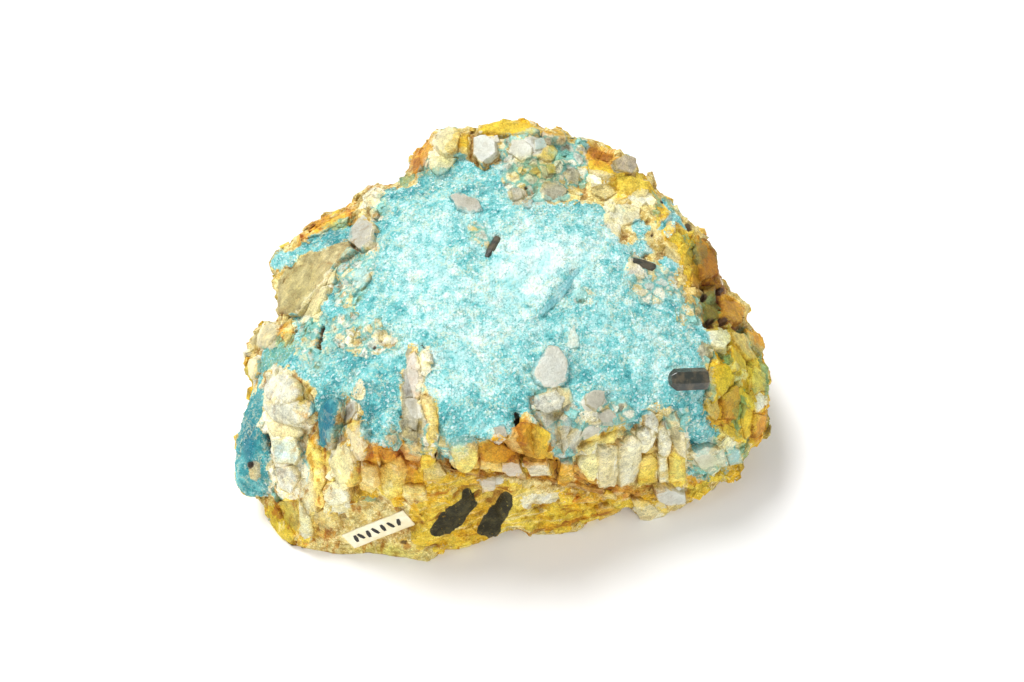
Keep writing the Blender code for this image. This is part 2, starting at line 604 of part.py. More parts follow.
def label_mesh(seat, normal, corners):
    run, rise, length, height = label_axes(normal, corners)
    middle = np.mean(corners, axis=0) + normal * (LABEL_GAP + LABEL_THICKNESS / 2)
    bm = bmesh.new()
    bmesh.ops.create_cube(bm, size=1.0)
    size = Vector((length, height, LABEL_THICKNESS))
    axes = Matrix((run, rise, normal)).transposed()
    for vert in bm.verts:
        vert.co = axes @ Vector([a * b for a, b in zip(vert.co, size)]) + Vector(middle)
    mesh = bpy.data.meshes.new("label")
    bmesh.ops.recalc_face_normals(bm, faces=bm.faces[:])
    bm.to_mesh(mesh)
    bm.free()
    return mesh


def settle(mesh, origin):
    mesh.transform(Matrix.Scale(MM, 4) @ Matrix.Translation(-Vector(origin)))
    mesh.update()


def main():
    seat, normal, corners = label_frame()
    raster = Raster()
    outline, depth, rough, planes = build_fields(raster, seat, normal)
    stone = rough_stone(raster, outline, depth, rough, planes)
    stone = flat_foot(thin_out(stone, FINAL_TRIANGLES))
    label = label_mesh(seat, normal, corners)
    origin = bottom_centre(stone)
    print("origin", [round(float(x), 3) for x in origin])
    settle(stone, origin)
    settle(label, origin)
    add_object("stone", stone, make_material("stone", (0.42, 0.60, 0.55), 0.7))
    add_object("label", label, make_material("label", (0.86, 0.80, 0.62), 0.8))


main()
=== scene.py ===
import itertools
import math
import random

import bpy
import bmesh
import numpy as np
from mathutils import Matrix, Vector, noise
from mathutils.bvhtree import BVHTree
from mathutils.kdtree import KDTree


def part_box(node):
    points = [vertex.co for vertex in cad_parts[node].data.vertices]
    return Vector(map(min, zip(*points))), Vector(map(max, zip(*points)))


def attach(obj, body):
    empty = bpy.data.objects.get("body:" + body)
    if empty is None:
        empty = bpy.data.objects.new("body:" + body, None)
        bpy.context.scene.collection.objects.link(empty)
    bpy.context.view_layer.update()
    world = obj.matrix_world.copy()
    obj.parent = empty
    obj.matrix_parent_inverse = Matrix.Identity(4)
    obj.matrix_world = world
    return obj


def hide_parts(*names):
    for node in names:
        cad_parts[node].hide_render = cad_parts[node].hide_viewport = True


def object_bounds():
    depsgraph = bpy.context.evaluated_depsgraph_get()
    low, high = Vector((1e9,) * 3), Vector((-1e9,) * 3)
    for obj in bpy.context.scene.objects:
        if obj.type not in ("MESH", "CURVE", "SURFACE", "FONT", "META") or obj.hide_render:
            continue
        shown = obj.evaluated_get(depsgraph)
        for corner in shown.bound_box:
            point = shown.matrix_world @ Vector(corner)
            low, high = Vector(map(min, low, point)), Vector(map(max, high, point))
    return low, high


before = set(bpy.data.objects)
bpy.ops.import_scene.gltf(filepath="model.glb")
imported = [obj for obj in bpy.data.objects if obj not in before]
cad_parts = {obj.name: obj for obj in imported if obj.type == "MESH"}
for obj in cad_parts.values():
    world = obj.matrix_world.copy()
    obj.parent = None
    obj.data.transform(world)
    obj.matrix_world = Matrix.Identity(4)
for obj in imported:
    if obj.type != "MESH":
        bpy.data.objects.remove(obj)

CAD_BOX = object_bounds()
MM = 0.001
SEED = 11
random.seed(SEED)
noise.seed_set(SEED)
RNG = np.random.default_rng(SEED)

# Sighting frame of the outline, in mm: the part's origin lies at ORIGIN in it.
ORIGIN = np.array([-0.922, -8.842, 0.0])
SIGHT_ELEVATION = math.radians(51.5)
EYE = np.array([0.0, -121.0, 152.1]) - ORIGIN
PX_CENTRE = (512.0, 341.0)
PX_PER_MM = 7.0
SIGHT_PLANE = 180.0
FOCAL_PX = SIGHT_PLANE * PX_PER_MM
IMAGE_WIDTH_PX = 1024.0
SENSOR_MM = 36.0
SIGHT_RIGHT = np.array([1.0, 0.0, 0.0])
SIGHT_IN = np.array([0.0, math.cos(SIGHT_ELEVATION), -math.sin(SIGHT_ELEVATION)])
SIGHT_UP = np.array([0.0, math.sin(SIGHT_ELEVATION), math.cos(SIGHT_ELEVATION)])

# The finest grid of the stone, and the box that every point stays in.
VOXEL_MM = 0.385
WELD = 2e-6
BOX_MARGIN = 0.6
BOX_LOW = np.array(CAD_BOX[0]) / MM - np.array([BOX_MARGIN, BOX_MARGIN, 0.0])
BOX_HIGH = np.array(CAD_BOX[1]) / MM + BOX_MARGIN
FAR_OUTSIDE_PX = -40.0


# What grows where on the seen side, in pixels of the view: the corners of an
# area, the middle, half sizes and turn in degrees of an oval, or the width and
# points of a line. Later kinds lie over earlier ones.
# The rust lines and pits along the ledge of the flank are partly painted shadow under its overhang, partly
# iron stain.
KIND_TABLE = """
yellow:
area 475,133 482,126 502,121 525,121 540,131 563,133 567,142 545,140 510,137 485,140 area 450,136
469,134 468,152 455,156 area 540,144 556,143 559,158 550,172 537,168 534,155 area 585,160 612,164
640,178 655,186 652,200 625,196 600,182 586,176 area 655,200 670,212 690,232 712,241 720,262 722,290
700,290 688,285 680,262 670,245 658,232 655,215 area 703,327 741,328 764,335 769,380 768,430 754,447
738,440 722,432 706,422 703,400 712,385 706,368 712,345 area 300,430 316,440 345,452 345,430 365,440
437,450 437,476 410,500 360,498 330,522 300,548 270,530 262,508 298,500 308,470 area 440,474 480,476
540,492 600,492 640,500 612,515 560,532 520,526 480,545 420,548 405,520 area 700,465 742,458 738,476
712,484 686,504 688,484 area 286,262 298,256 300,268 290,282 area 480,470 480,442 520,420 552,440
560,470 575,480 area 630,497 665,492 667,510 640,508
rust:
line 8 588,146 600,156 612,160 line 6 588,146 588,160 area 438,131 430,150 422,176 407,178 411,160
424,140 area 353,207 357,214 345,227 310,244 295,248 298,240 322,218 area 586,143 600,149 614,155
612,163 598,170 590,162 area 690,231 712,242 719,275 726,290 705,286 700,262 696,245 area 701,286
727,290 743,305 742,327 722,326 704,322 area 742,330 762,335 767,348 757,357 746,344 area 757,411
767,414 765,432 756,443 748,436 area 299,431 315,434 319,451 306,452 area 364,443 420,438 440,452
418,468 414,484 398,478 380,470 368,458 area 505,431 521,418 548,431 553,457 524,459 500,459 478,462
478,443 line 7 437,455 453,470 480,473 525,476 555,481 line 9 572,472 584,481 602,489 640,492 oval
583,500,13,4 oval 640,490,20,4 oval 694,480,10,6 oval 403,470,9,12 line 4 360,455 362,478 line 4 322,465
325,482 line 3 298,548 324,530 oval 661,203,4,4 oval 668,222,5,10,60 oval 716,400,5,14,10 oval
722,412,12,12 line 3 706,372 703,384 oval 284,336,6,12 oval 466,143,4,9 oval 425,448,10,8 oval
404,542,7,4 oval 490,520,6,4 oval 325,532,4,8 oval 310,445,5,6 oval 298,378,5,5 line 6 550,459 557,462
556,478 line 3 477,444 479,470 oval 482,530,9,5
blue:
area 425,170 460,158 483,168 505,163 520,190 545,205 585,201 603,209 612,222 618,240 630,245 632,262
655,270 668,275 680,290 690,300 703,325 712,342 702,365 712,385 702,400 705,420 716,430 716,438 708,447
690,453 684,430 672,410 655,410 640,418 628,430 618,428 600,425 580,438 562,462 555,455 550,440 548,432
530,418 518,413 510,430 497,441 470,441 447,455 437,440 436,405 426,380 425,350 410,350 402,375 402,440
393,448 372,446 362,430 358,405 345,403 338,425 330,450 320,440 316,400 312,385 300,372 280,366 262,372
262,355 270,345 290,345 296,325 310,318 322,308 330,290 335,268 352,258 362,250 375,235 373,215 385,193
400,187 415,186 area 271,263 279,252 303,245 330,231 350,222 374,222 355,238 330,249 300,256 284,271
276,272 area 264,368 250,400 234,434 231,474 240,500 256,498 270,492 273,470 263,445 262,400 area
270,443 290,438 308,448 310,478 298,480 280,468 area 686,462 700,467 712,470 706,478 690,478 oval
668,265,11,9,-30 oval 641,231,9,9 oval 640,248,12,8 oval 668,222,4,12,-40 area 294,318 308,318 306,336
296,345 line 6 664,200 672,214 683,226 oval 425,430,4,9 oval 446,448,8,8 area 722,446 738,444 740,460
724,464
green:
area 556,140 586,143 584,158 590,180 575,186 560,168 557,152 oval 575,182,14,5 line 4 655,194 657,222
line 4 668,196 673,212 line 6 714,346 728,362 738,384 line 8 740,400 737,430 line 6 742,330 756,348
764,372 766,398 line 5 752,392 760,376 line 7 750,438 742,452 oval 371,499,11,3,-15 area 262,370 269,346
284,332 299,342 282,362 line 5 268,478 278,494 oval 440,165,14,5,10 oval 432,172,8,5 oval
525,178,12,4,-30 oval 404,182,5,5 line 3 560,440 566,456 line 3 620,447 629,428 oval 700,255,5,12 oval
690,250,7,8 oval 706,300,8,10 oval 712,315,8,8 oval 345,283,6,8 oval 478,235,10,7 oval 340,225,16,3,25
oval 378,208,6,8 oval 413,392,2,6 oval 505,156,4,8
lace:
area 500,136 545,132 588,146 588,178 566,200 530,206 508,190 500,165 area 345,240 372,236 378,262
366,290 352,312 334,300 335,268 area 300,318 345,316 380,326 404,340 398,352 360,356 330,350 318,372
296,356 area 268,430 310,432 308,472 290,500 262,492 272,470 area 380,428 402,432 440,424 450,448
436,460 404,446 382,446 area 528,392 550,384 572,392 585,430 578,452 562,464 548,436 530,424 area
580,396 606,400 632,404 630,424 600,440 578,438 area 664,410 684,412 690,430 676,436 664,424 area
690,444 722,438 742,446 722,468 700,480 688,470 area 700,345 712,342 712,398 702,400 oval
648,290,22,12,-20 oval 612,215,10,12 oval 690,315,12,16 area 625,246 660,268 690,296 680,300 640,276
oval 432,170,14,9,20 oval 420,372,7,30,-8 oval 380,210,10,12 oval 480,235,16,9,-35 oval 350,402,6,12
oval 548,190,22,12 oval 455,452,10,8 oval 340,432,6,14 oval 585,296,12,8
quartz:
area 548,348 558,350 563,362 564,378 556,388 544,386 537,376 541,360 area 450,196 464,194 480,203
482,211 470,212 456,206 oval 593,401,12,8,25 oval 607,415,10,5,5 oval 592,431,10,6,15 oval
363,233,9,15,-15 area 514,140 530,138 546,142 544,152 528,158 512,154 area 474,138 488,136 498,146
496,160 486,164 476,154 oval 706,458,14,8,5 oval 672,494,15,7,5 oval 351,411,6,11,-20 oval 500,435,7,8
area 407,360 416,352 418,380 416,398 424,418 412,420 404,400 404,372 oval 660,502,6,5 oval 341,447,5,9
oval 492,483,13,5,5 oval 512,466,10,5
white:
area 265,377 280,367 297,375 305,393 313,410 313,430 300,435 298,446 308,472 300,500 286,500 273,482
266,450 262,430 261,400 oval 341,465,12,20 oval 339,502,11,13 oval 306,518,8,22,8 oval 358,440,8,22 area
577,452 598,441 619,444 618,484 602,488 588,474 577,464 area 621,446 630,430 641,427 642,452 636,478
618,486 area 642,427 650,411 658,418 656,446 646,454 area 659,425 671,430 671,452 659,454 area 674,418
688,428 688,470 681,462 674,442 oval 662,466,5,14 area 456,450 468,452 468,463 458,464 area 527,462
546,463 544,474 531,473 oval 518,156,12,7,10 oval 541,150,8,6,30 oval 440,161,13,7 oval 444,142,8,15,-30
oval 758,402,6,10 area 706,330 729,330 725,350 712,352 area 632,506 650,505 667,513 652,524 640,520 area
336,268 332,290 323,306 318,326 301,318 316,296 325,280 area 359,212 365,195 379,188 387,193 376,205
area 256,346 259,331 268,321 284,325 272,340 264,355 area 247,370 250,356 261,357 260,372 254,388 oval
412,372,8,18,-5 oval 600,178,14,7 oval 640,200,12,8 oval 612,215,8,20,20 oval 372,240,6,14,20 oval
349,340,14,4,-15 oval 384,338,12,6,-15 oval 360,392,5,10 oval 635,270,9,7,-40 oval 590,415,10,8 oval
540,500,20,8,10 oval 550,408,14,10 oval 735,372,6,12,30 oval 728,442,10,7 oval 425,365,5,18,-10
grey:
area 348,404 356,403 356,412 350,424 345,422 area 404,372 411,378 416,398 402,400 area 405,356 416,352
418,380 418,400 428,420 420,440 402,440 402,400 404,372 area 538,394 556,388 572,396 570,410 552,426
536,414 oval 518,197,12,7,-50 oval 623,165,13,9 oval 255,470,6,10 area 552,432 566,424 584,432 576,450
568,440 562,454 oval 622,408,5,3,20 oval 270,338,9,12 oval 288,380,9,4 oval 284,412,10,10 oval
282,472,8,6 oval 552,190,12,9 oval 572,176,10,6 oval 608,462,6,12 oval 676,435,5,12 oval 705,352,6,8
oval 640,432,4,14
tan:
area 345,240 357,250 336,266 331,290 303,316 280,318 277,280 292,264 318,250 oval 255,338,5,10
honey:
area 470,448 478,448 477,469 458,471 456,465 area 520,440 546,440 550,456 524,458 area 636,462 646,452
656,456 658,480 636,482 area 664,460 676,452 686,458 686,482 664,482 area 640,456 655,454 656,482
636,484 area 668,457 684,458 684,480 668,482 area 580,447 592,434 618,428 616,441 598,440 line 8 316,452
314,490 312,535 line 7 266,512 280,530 296,540 oval 303,400,7,16,-20 oval 432,425,4,26,-8 oval
357,428,6,8 oval 430,466,10,8 oval 532,440,12,14 oval 290,505,10,9 oval 725,385,9,16,-10 oval
745,362,10,14,-20 oval 510,129,26,4 oval 676,240,10,6,40 oval 620,180,12,5,-20 line 5 640,484 684,484
pit:
line 4 265,436 267,452 line 3 271,456 273,468 line 3 322,328 320,350 line 3 516,414 517,427 line 4
701,288 703,300 oval 721,291,4,4 oval 689,227,3,5,20 line 3 421,406 428,420 oval 374,347,2,2 oval
380,340,2,2 line 2 619,444 620,457 oval 404,542,4,2 oval 594,290,1,1 oval 583,394,1,1 oval 593,192,1.2,1
oval 600,201,1,1.2 oval 625,228,1.5,1 oval 631,220,1.2,1.2 oval 652,235,1.5,2 line 3 438,456 452,469
line 2 452,470 476,473 line 2 573,474 590,485 line 2 524,458 552,459 line 3 556,462 555,478 line 2
622,510 632,508 oval 710,321,4,3 oval 722,322,5,4 line 1.5 422,345 430,355 oval 250,465,3,4 oval
463,464,1.5,1.5 oval 526,187,2,2 oval 661,203,2,2
paint:
line 15 438,530 452,518 468,498 line 9 446,531 460,517 473,503 line 14 484,530 494,515 506,499 line 10
490,533 502,516 508,503
"""

# Soft patches on the seen side: middle, reach in pixels and amount of each.
# Paler (+) and deeper (-) parts of the crust: partly its own colour, partly painted sheen in the pale middle
# and painted shade towards the lower left.
TONE_TABLE = """
545,262,50,40,1.5 435,285,45,70,0.6 640,345,60,50,0.5 480,330,60,50,0.5 500,235,30,18,0.4
460,385,25,35,0.3 410,250,30,40,0.4 600,240,30,20,0.3 370,400,40,45,-1.1 330,425,10,28,-2.2
300,350,40,20,-0.6 480,190,60,18,-0.5 590,207,25,8,-0.8 470,425,40,20,-0.5 680,420,40,22,-0.9
525,398,20,14,-0.8 250,440,22,70,-2 320,235,50,14,-1.3 330,320,20,20,-0.9 600,385,50,18,-0.5
430,290,14,8,-0.5 470,265,16,14,-0.6 566,284,5,14,-1.2 552,304,5,12,-1.2 615,225,8,14,-0.8
400,200,30,12,-0.7 290,460,20,20,-0.3 380,225,10,20,-0.5 425,180,10,12,-0.8 640,310,10,14,-0.4
670,310,14,8,-0.4 560,165,20,20,-0.8 615,355,14,12,-0.4
"""
# Smooth plates in the crust.
PLATE_TABLE = """
525,268,34,30,1.2 560,255,20,16,0.9 505,300,24,18,0.7 440,270,14,20,0.6 610,318,22,16,0.7
452,350,18,26,0.6 500,345,20,18,0.5 250,410,20,40,0.9 240,460,16,30,0.9 310,355,26,16,0.6
380,372,14,20,0.6 470,430,16,12,0.5 640,345,18,20,0.5 330,425,10,30,1 430,240,18,16,0.4
590,268,12,20,0.5
"""
# Drift of the bare rock from olive (-) to rust (+).
WARMTH_TABLE = """
395,460,45,22,0.5 703,268,18,34,0.3 535,450,40,20,0.3 600,492,60,10,0.4 425,155,14,25,0.5
320,228,30,10,0.5 600,158,16,10,0.6 755,345,14,12,0.5 760,425,10,18,0.6 735,380,36,55,-0.9
710,470,34,18,-0.3 446,158,22,16,-0.6 690,245,16,22,-0.4 540,165,30,20,-0.5 300,300,28,40,-0.4
282,520,22,20,-0.6 390,552,60,8,-0.7 560,518,50,14,-0.3 715,312,16,14,-0.5 340,520,30,20,-0.2
322,400,10,30,-0.2 605,205,40,30,-0.2 290,265,20,12,-0.3
"""
# Paler (+) and darker (-) parts of the bare rock.
LIGHT_TABLE = """
620,458,50,28,0.6 338,500,26,30,0.4 335,462,16,24,0.4 515,498,40,14,0.4 622,205,40,30,0.3
650,515,20,10,0.6 410,550,40,8,0.3 310,510,18,40,0.4 715,340,14,10,0.5 735,390,34,50,0.1
708,275,22,44,-1.2 400,458,36,18,-0.3 600,490,50,10,-0.5 520,452,60,18,-0.3 450,525,60,20,-0.3
540,165,30,16,-0.3 300,295,24,30,-0.2 640,492,16,8,-0.4 715,320,20,16,-0.6
"""

# Grooves and cracks: width in pixels and depth in mm, then pixel points.
GROOVE_TABLE = """
3 0.12: 575,285 565,305 562,340
4 0.6: 323,328 320,350
4 0.8: 265,436 267,452
3 0.5: 271,456 273,468
4 0.5: 437,455 452,470 480,473 525,476 555,483
3 0.3: 572,474 582,482 600,488
4 0.6: 516,414 517,427
4 0.5: 701,287 703,300
3 0.35: 620,446 618,484
3 0.35: 642,428 643,455 637,482
3 0.3: 657,418 657,446
3 0.3: 672,428 671,456
3 0.3: 658,456 656,480
3 0.3: 668,456 667,480
3 0.3: 712,352 706,388 703,402 708,422 717,432
3 0.4: 503,443 520,455 524,476
3 0.3: 478,443 480,470
3 0.4: 524,459 552,460
4 0.4: 557,460 556,480
3 0.3: 300,432 312,452
3 0.3: 700,258 706,286
4 0.4: 704,325 724,328 742,328
3 0.3: 421,405 428,421
3 0.3: 362,430 364,470
3 0.3: 448,470 436,456
3 0.25: 716,346 736,380
3 0.25: 738,380 736,430
3 0.3: 756,350 762,390
3 0.3: 598,441 610,486
3 0.3: 472,134 472,155 482,167
3 0.3: 507,142 512,155 530,153
3 0.3: 428,142 420,160 412,175
"""

# Larger crystals and broken faces of the seen side. Each row: colour, form,
# height in mm, then its outline in pixels of the view.
# The thin rust ridges along the ledge are partly painted shadow under its overhang, partly iron stain.
BLOCK_TABLE = """
white dome 0.35: 268,382 282,371 296,382 298,398 284,404 266,398
white dome 0.35: 264,401 284,405 300,400 312,412 300,424 282,424 268,414
cream ridge 0.6: 299,383 306,388 314,402 318,420 309,424 302,404
cream dome 0.4: 268,420 300,425 303,436 280,438 270,434
ice slab 0.3: 272,440 296,440 300,452 296,464 276,462
white slab 0.4: 276,468 292,466 300,478 292,492 280,486
white ridge 0.5: 300,482 312,470 318,490 316,510 306,512 300,498
amber ridge 0.4: 303,434 318,434 320,447 312,452 303,446
lagoon dome 0.5: 330,398 337,406 337,424 334,440 330,450 324,442 319,420 322,406
smoke slab 0.4: 347,404 357,403 358,412 352,421 346,424 343,418 345,411
smoke ridge 0.3: 339,430 342,436 341,445 337,446 335,440
pale ridge 0.7: 338,446 348,443 352,456 358,470 356,484 346,488 338,478 333,462
cream ridge 0.6: 350,425 358,422 365,432 366,452 360,460 352,448 346,436
white dome 0.5: 326,483 342,480 352,490 345,504 330,506 324,494
pale ridge 0.6: 310,440 322,452 325,480 318,496 310,478 307,456
honey ridge 0.4: 265,500 272,501 284,520 296,534 290,541 276,530 267,516
olive slab 0.3: 281,501 298,502 300,520 298,534 286,520
white ridge 0.5: 300,502 310,516 314,535 304,538 300,520
cream ridge 0.4: 318,512 330,508 340,520 330,530 320,528
cream slab 0.4: 362,462 378,466 382,480 372,492 360,488 356,474
pale ridge 0.5: 380,468 400,456 408,470 402,490 390,498 382,488
cream slab 0.5: 400,445 414,440 424,448 420,462 406,458
cream ridge 0.4: 424,466 438,462 446,474 436,482 424,480
amber slab 0.3: 365,447 378,444 381,462 368,466
amber ridge 0.3: 382,447 397,452 396,466 384,462
cream slab 0.3: 404,484 424,484 428,500 412,506 402,496
pink slab 0.5: 407,358 416,352 420,364 424,380 420,396 414,398 408,380
smoke slab 0.3: 404,372 411,381 416,396 402,398 401,384
grey ridge 0.4: 402,400 418,398 420,412 416,430 404,424
cream ridge 0.5: 420,396 434,400 438,420 438,440 430,436 424,412
olive ridge 0.3: 404,430 416,432 418,442 404,441
pale dome 0.5: 450,447 462,442 478,446 478,458 470,470 458,469 453,458
amber slab 0.4: 480,444 500,443 515,452 520,460 500,461 482,458
cream slab 0.4: 482,460 500,461 502,470 480,468
pink slab 0.4: 502,461 518,461 526,474 508,472 501,468
white slab 0.5: 525,462 546,462 552,474 532,474
rust slab 0.2: 549,460 558,462 556,478 553,476
cream ridge 0.4: 504,440 517,430 521,442 524,452 510,448
amber slab 0.5: 520,424 534,424 532,456 522,442
honey slab 0.6: 536,424 547,432 550,457 535,457
amber slab 0.4: 561,462 572,462 574,476 565,482 557,480
rust ridge 0.2: 571,475 582,476 592,485 586,485
grey slab 0.3: 494,428 504,424 507,436 498,440
quartz slab 0.3: 536,396 555,390 565,398 560,410 545,414 534,408
cream slab 0.3: 557,388 569,388 574,400 563,408
grey ridge 0.4: 534,412 551,414 557,430 552,450 545,430
quartz ridge 0.4: 559,428 566,416 571,420 569,444 563,452
quartz dome 0.2: 548,346 558,348 565,356 569,370 566,382 556,388 545,387 535,381 532,371 537,362 543,355
white slab 0.15: 573,316 576,332 579,346 570,349 566,344 570,330
blade slab 0.35: 577,268 579,272 562,300 543,315 541,311 558,288
grey slab 0.4: 586,394 594,390 604,392 603,402 596,410 586,404
grey slab 0.4: 598,412 610,410 616,416 612,426 600,424
smoke slab 0.2: 620,406 628,407 624,412 618,411
grey slab 0.3: 587,424 600,421 598,432 584,440 580,434
quartz ridge 0.3: 567,436 580,427 583,437 575,450 568,450
pale ridge 0.5: 581,449 592,442 606,436 618,429 621,436 616,445 600,448 590,455
pale dome 0.8: 577,460 592,453 600,452 598,470 592,482 582,472
cream ridge 0.8: 601,450 617,446 617,466 612,483 598,484 597,468
white ridge 0.9: 620,448 632,437 640,442 640,460 634,480 619,484 618,466
white dome 0.8: 635,430 648,424 652,440 648,450 641,452 636,441
white dome 0.6: 643,414 652,410 658,420 658,434 650,428 643,424
white ridge 0.8: 659,430 664,426 671,440 671,450 664,458 658,454
cream ridge 0.6: 664,415 676,416 684,432 686,456 677,454 671,436
honey ridge 0.7: 641,458 650,453 657,460 657,482 638,482
white ridge 0.7: 659,458 666,457 668,480 659,482
pale ridge 0.7: 669,457 684,458 686,480 669,482
quartz slab 0.35: 656,491 667,488 684,493 685,500 670,503 657,499
cream slab 0.5: 632,498 649,500 659,512 650,522 640,518
honey slab 0.4: 651,500 664,499 668,512 660,514
white slab 0.4: 690,452 704,444 722,447 725,460 712,475 699,466
ice slab 0.4: 725,445 740,449 742,462 728,464
rust ridge 0.15: 438,455 452,468 477,471 477,475 450,473 436,460
rust ridge 0.15: 479,472 524,474 526,478 480,476
rust ridge 0.15: 527,475 556,480 600,488 600,492 556,485 526,479
pink slab 0.2: 481,478 496,480 494,488 483,490
amber slab 0.3: 596,508 608,504 620,508 616,513 600,520
honey dome 0.6: 476,134 484,127 502,122 520,123 537,129 538,134 516,136 492,134
amber slab 0.3: 542,132 556,131 565,136 566,141 548,138
cream slab 0.6: 437,137 446,129 455,130 461,136 457,152 444,154 435,146
honey ridge 0.7: 459,138 468,134 470,146 466,156 460,152
amber ridge 0.4: 424,150 432,135 436,137 432,152 424,166 416,174 413,172
rust ridge 0.3: 411,161 420,157 422,169 413,177 409,172
sage ridge 0.6: 431,157 444,156 456,159 448,171 438,176 430,168
quartz slab 0.4: 475,140 486,137 495,143 496,153 488,160 482,165 474,156
white slab 0.3: 511,141 523,140 532,147 531,157 521,161 510,154
ice slab 0.4: 534,140 546,138 546,149 536,150
honey slab 0.5: 538,158 544,147 552,144 558,152 554,160 546,162
olive slab 0.3: 524,168 534,163 541,172 532,176
honey slab 0.3: 546,165 556,164 556,174 548,174
grey ridge 0.4: 542,184 556,180 566,190 560,200 546,200
rust ridge 0.4: 586,147 596,144 602,152 598,158 588,156
rust ridge 0.3: 601,152 613,154 611,162 602,160
honey slab 0.4: 587,161 600,160 611,166 615,176 604,178 590,174
pink slab 0.4: 614,161 626,155 635,158 636,167 630,173 616,170
honey slab 0.4: 616,176 632,178 648,188 645,197 630,196 618,188
cream slab 0.3: 594,182 610,184 616,194 604,200 592,194
white slab 0.3: 613,206 626,204 639,210 639,221 622,226 612,218
grey slab 0.25: 450,197 459,193 478,200 482,209 472,214 458,209
grey slab 0.2: 511,190 520,187 523,198 514,200
grey slab 0.2: 522,200 533,200 531,208 524,208
cream slab 0.3: 665,240 676,246 680,261 672,261 664,252
honey slab 0.3: 683,248 692,252 690,269 684,267
amber slab 0.4: 693,241 704,244 713,256 715,275 702,279 698,262
amber slab 0.4: 690,272 700,277 698,290 690,286
olive slab 0.3: 702,288 715,287 714,300 704,300
rust ridge 0.4: 722,286 726,292 722,298 717,292
olive slab 0.4: 704,303 716,305 719,318 708,322
amber slab 0.5: 722,301 737,304 741,314 739,323 724,321
amber slab 0.5: 743,331 761,338 764,348 760,355 750,348
white slab 0.5: 706,332 724,331 729,340 723,349 712,346
cream slab 0.5: 728,334 742,335 755,350 758,359 747,359 733,344
honey slab 0.5: 729,347 744,361 746,371 735,370
honey slab 0.6: 713,368 726,364 735,376 724,392 712,403 706,392
pale slab 0.5: 753,366 763,374 764,391 752,393 750,378
white slab 0.4: 751,396 763,396 763,407 754,411
amber slab 0.5: 722,396 735,384 739,400 737,419 724,417
cream slab 0.4: 705,398 716,396 719,410 714,420 707,414
honey slab 0.4: 721,421 734,428 741,436 736,441 724,434
honey ridge 0.5: 743,405 752,412 754,427 746,439 740,424
amber slab 0.4: 756,414 765,416 763,429 756,438 753,430
tan slab 0.3: 300,263 320,252 343,246 352,252 334,267 326,284 313,300 300,313 283,313 280,290 285,278 293,270
cream slab 0.4: 318,291 328,287 327,296 320,307 312,317 305,314
cream slab 0.4: 331,275 338,267 335,284 328,284
grey slab 0.4: 352,231 361,221 375,226 372,240 361,250 350,241
cream dome 0.9: 260,330 270,323 280,328 276,340 266,351 258,344
cream dome 0.9: 249,362 256,357 261,364 259,379 251,378
amber slab 0.4: 283,327 293,319 293,335 286,343 281,336
ice slab 0.3: 353,272 367,267 371,278 362,291 353,284
honey ridge 0.4: 303,240 320,227 346,211 353,213 340,223 318,235
cream dome 0.4: 369,212 376,207 380,216 373,220
"""

# The colour names of the rows above, as seen on a screen.
PALETTE = {
    "white": (234, 235, 214), "cream": (236, 218, 150), "pale": (248, 238, 140), "honey": (238, 206, 62),
    "amber": (226, 168, 36), "rust": (150, 84, 16), "olive": (176, 156, 66), "sage": (204, 204, 146),
    "tan": (190, 176, 124), "grey": (178, 174, 156), "quartz": (216, 220, 208), "smoke": (112, 104, 88),
    "pink": (216, 198, 176), "lagoon": (18, 112, 134), "ice": (190, 222, 214),
    "blade": (128, 186, 192),
}


# Dark crystals lying in the crust: both ends in pixels of the view, then half
# width and height above the crust in mm, and the length of the point.
CRYSTALS = [
    ((703, 380), (667, 381), 1.5, 0.95, 0.14),
    ((499, 238), (486, 257), 0.55, 0.35, 0.3),
    ((655, 268), (633, 259), 0.65, 0.55, 0.4),
]


def read_spots(text):
    """Rows of numbers, parted by spaces, with commas inside a row."""
    return [tuple(float(v) for v in word.split(",")) for word in text.split()]


def read_rows(text):
    """The words before each colon, and the spots after it."""
    for row in text.strip().splitlines():
        head, spots = row.split(":")
        yield head.split(), read_spots(spots)


def read_shapes(text):
    """Each kind's shapes: the shape's word and its spots."""
    kinds = {}
    for word in text.split():
        if word.endswith(":"):
            shapes = kinds[word[:-1]] = []
        elif word in ("area", "oval", "line"):
            shapes.append((word, []))
        else:
            shapes[-1][1].extend(read_spots(word))
    return kinds


KINDS = read_shapes(KIND_TABLE)
TONES, PLATES = read_spots(TONE_TABLE), read_spots(PLATE_TABLE)
WARMTH, LIGHT = read_spots(WARMTH_TABLE), read_spots(LIGHT_TABLE)
GROOVES = [(float(width), float(deep), points) for (width, deep), points in read_rows(GROOVE_TABLE)]
BLOCKS = [(colour, form, float(high), points) for (colour, form, high), points in read_rows(BLOCK_TABLE)]


def segment_distance(x, y, a, b):
    dx, dy = b[0] - a[0], b[1] - a[1]
    along = np.clip(((x - a[0]) * dx + (y - a[1]) * dy) / (dx * dx + dy * dy + 1e-9), 0, 1)
    return np.hypot(x - a[0] - along * dx, y - a[1] - along * dy)


def line_distance(x, y, points):
    near = np.full(x.shape, 1e6)
    for a, b in zip(points[:-1], points[1:]):
        near = np.minimum(near, segment_distance(x, y, a, b))
    return near


def area_depth(x, y, points):
    """Pixels inside a closed outline; negative outside it."""
    near = np.full(x.shape, 1e6)
    inside = np.zeros(x.shape, dtype=bool)
    for i, b in enumerate(points):
        a = points[i - 1]
        near = np.minimum(near, segment_distance(x, y, a, b))
        rise = b[1] - a[1] if b[1] != a[1] else 1e-9
        at = a[0] + (y - a[1]) * (b[0] - a[0]) / rise
        inside ^= ((a[1] > y) != (b[1] > y)) & (x < at)
    return np.where(inside, near, -near)


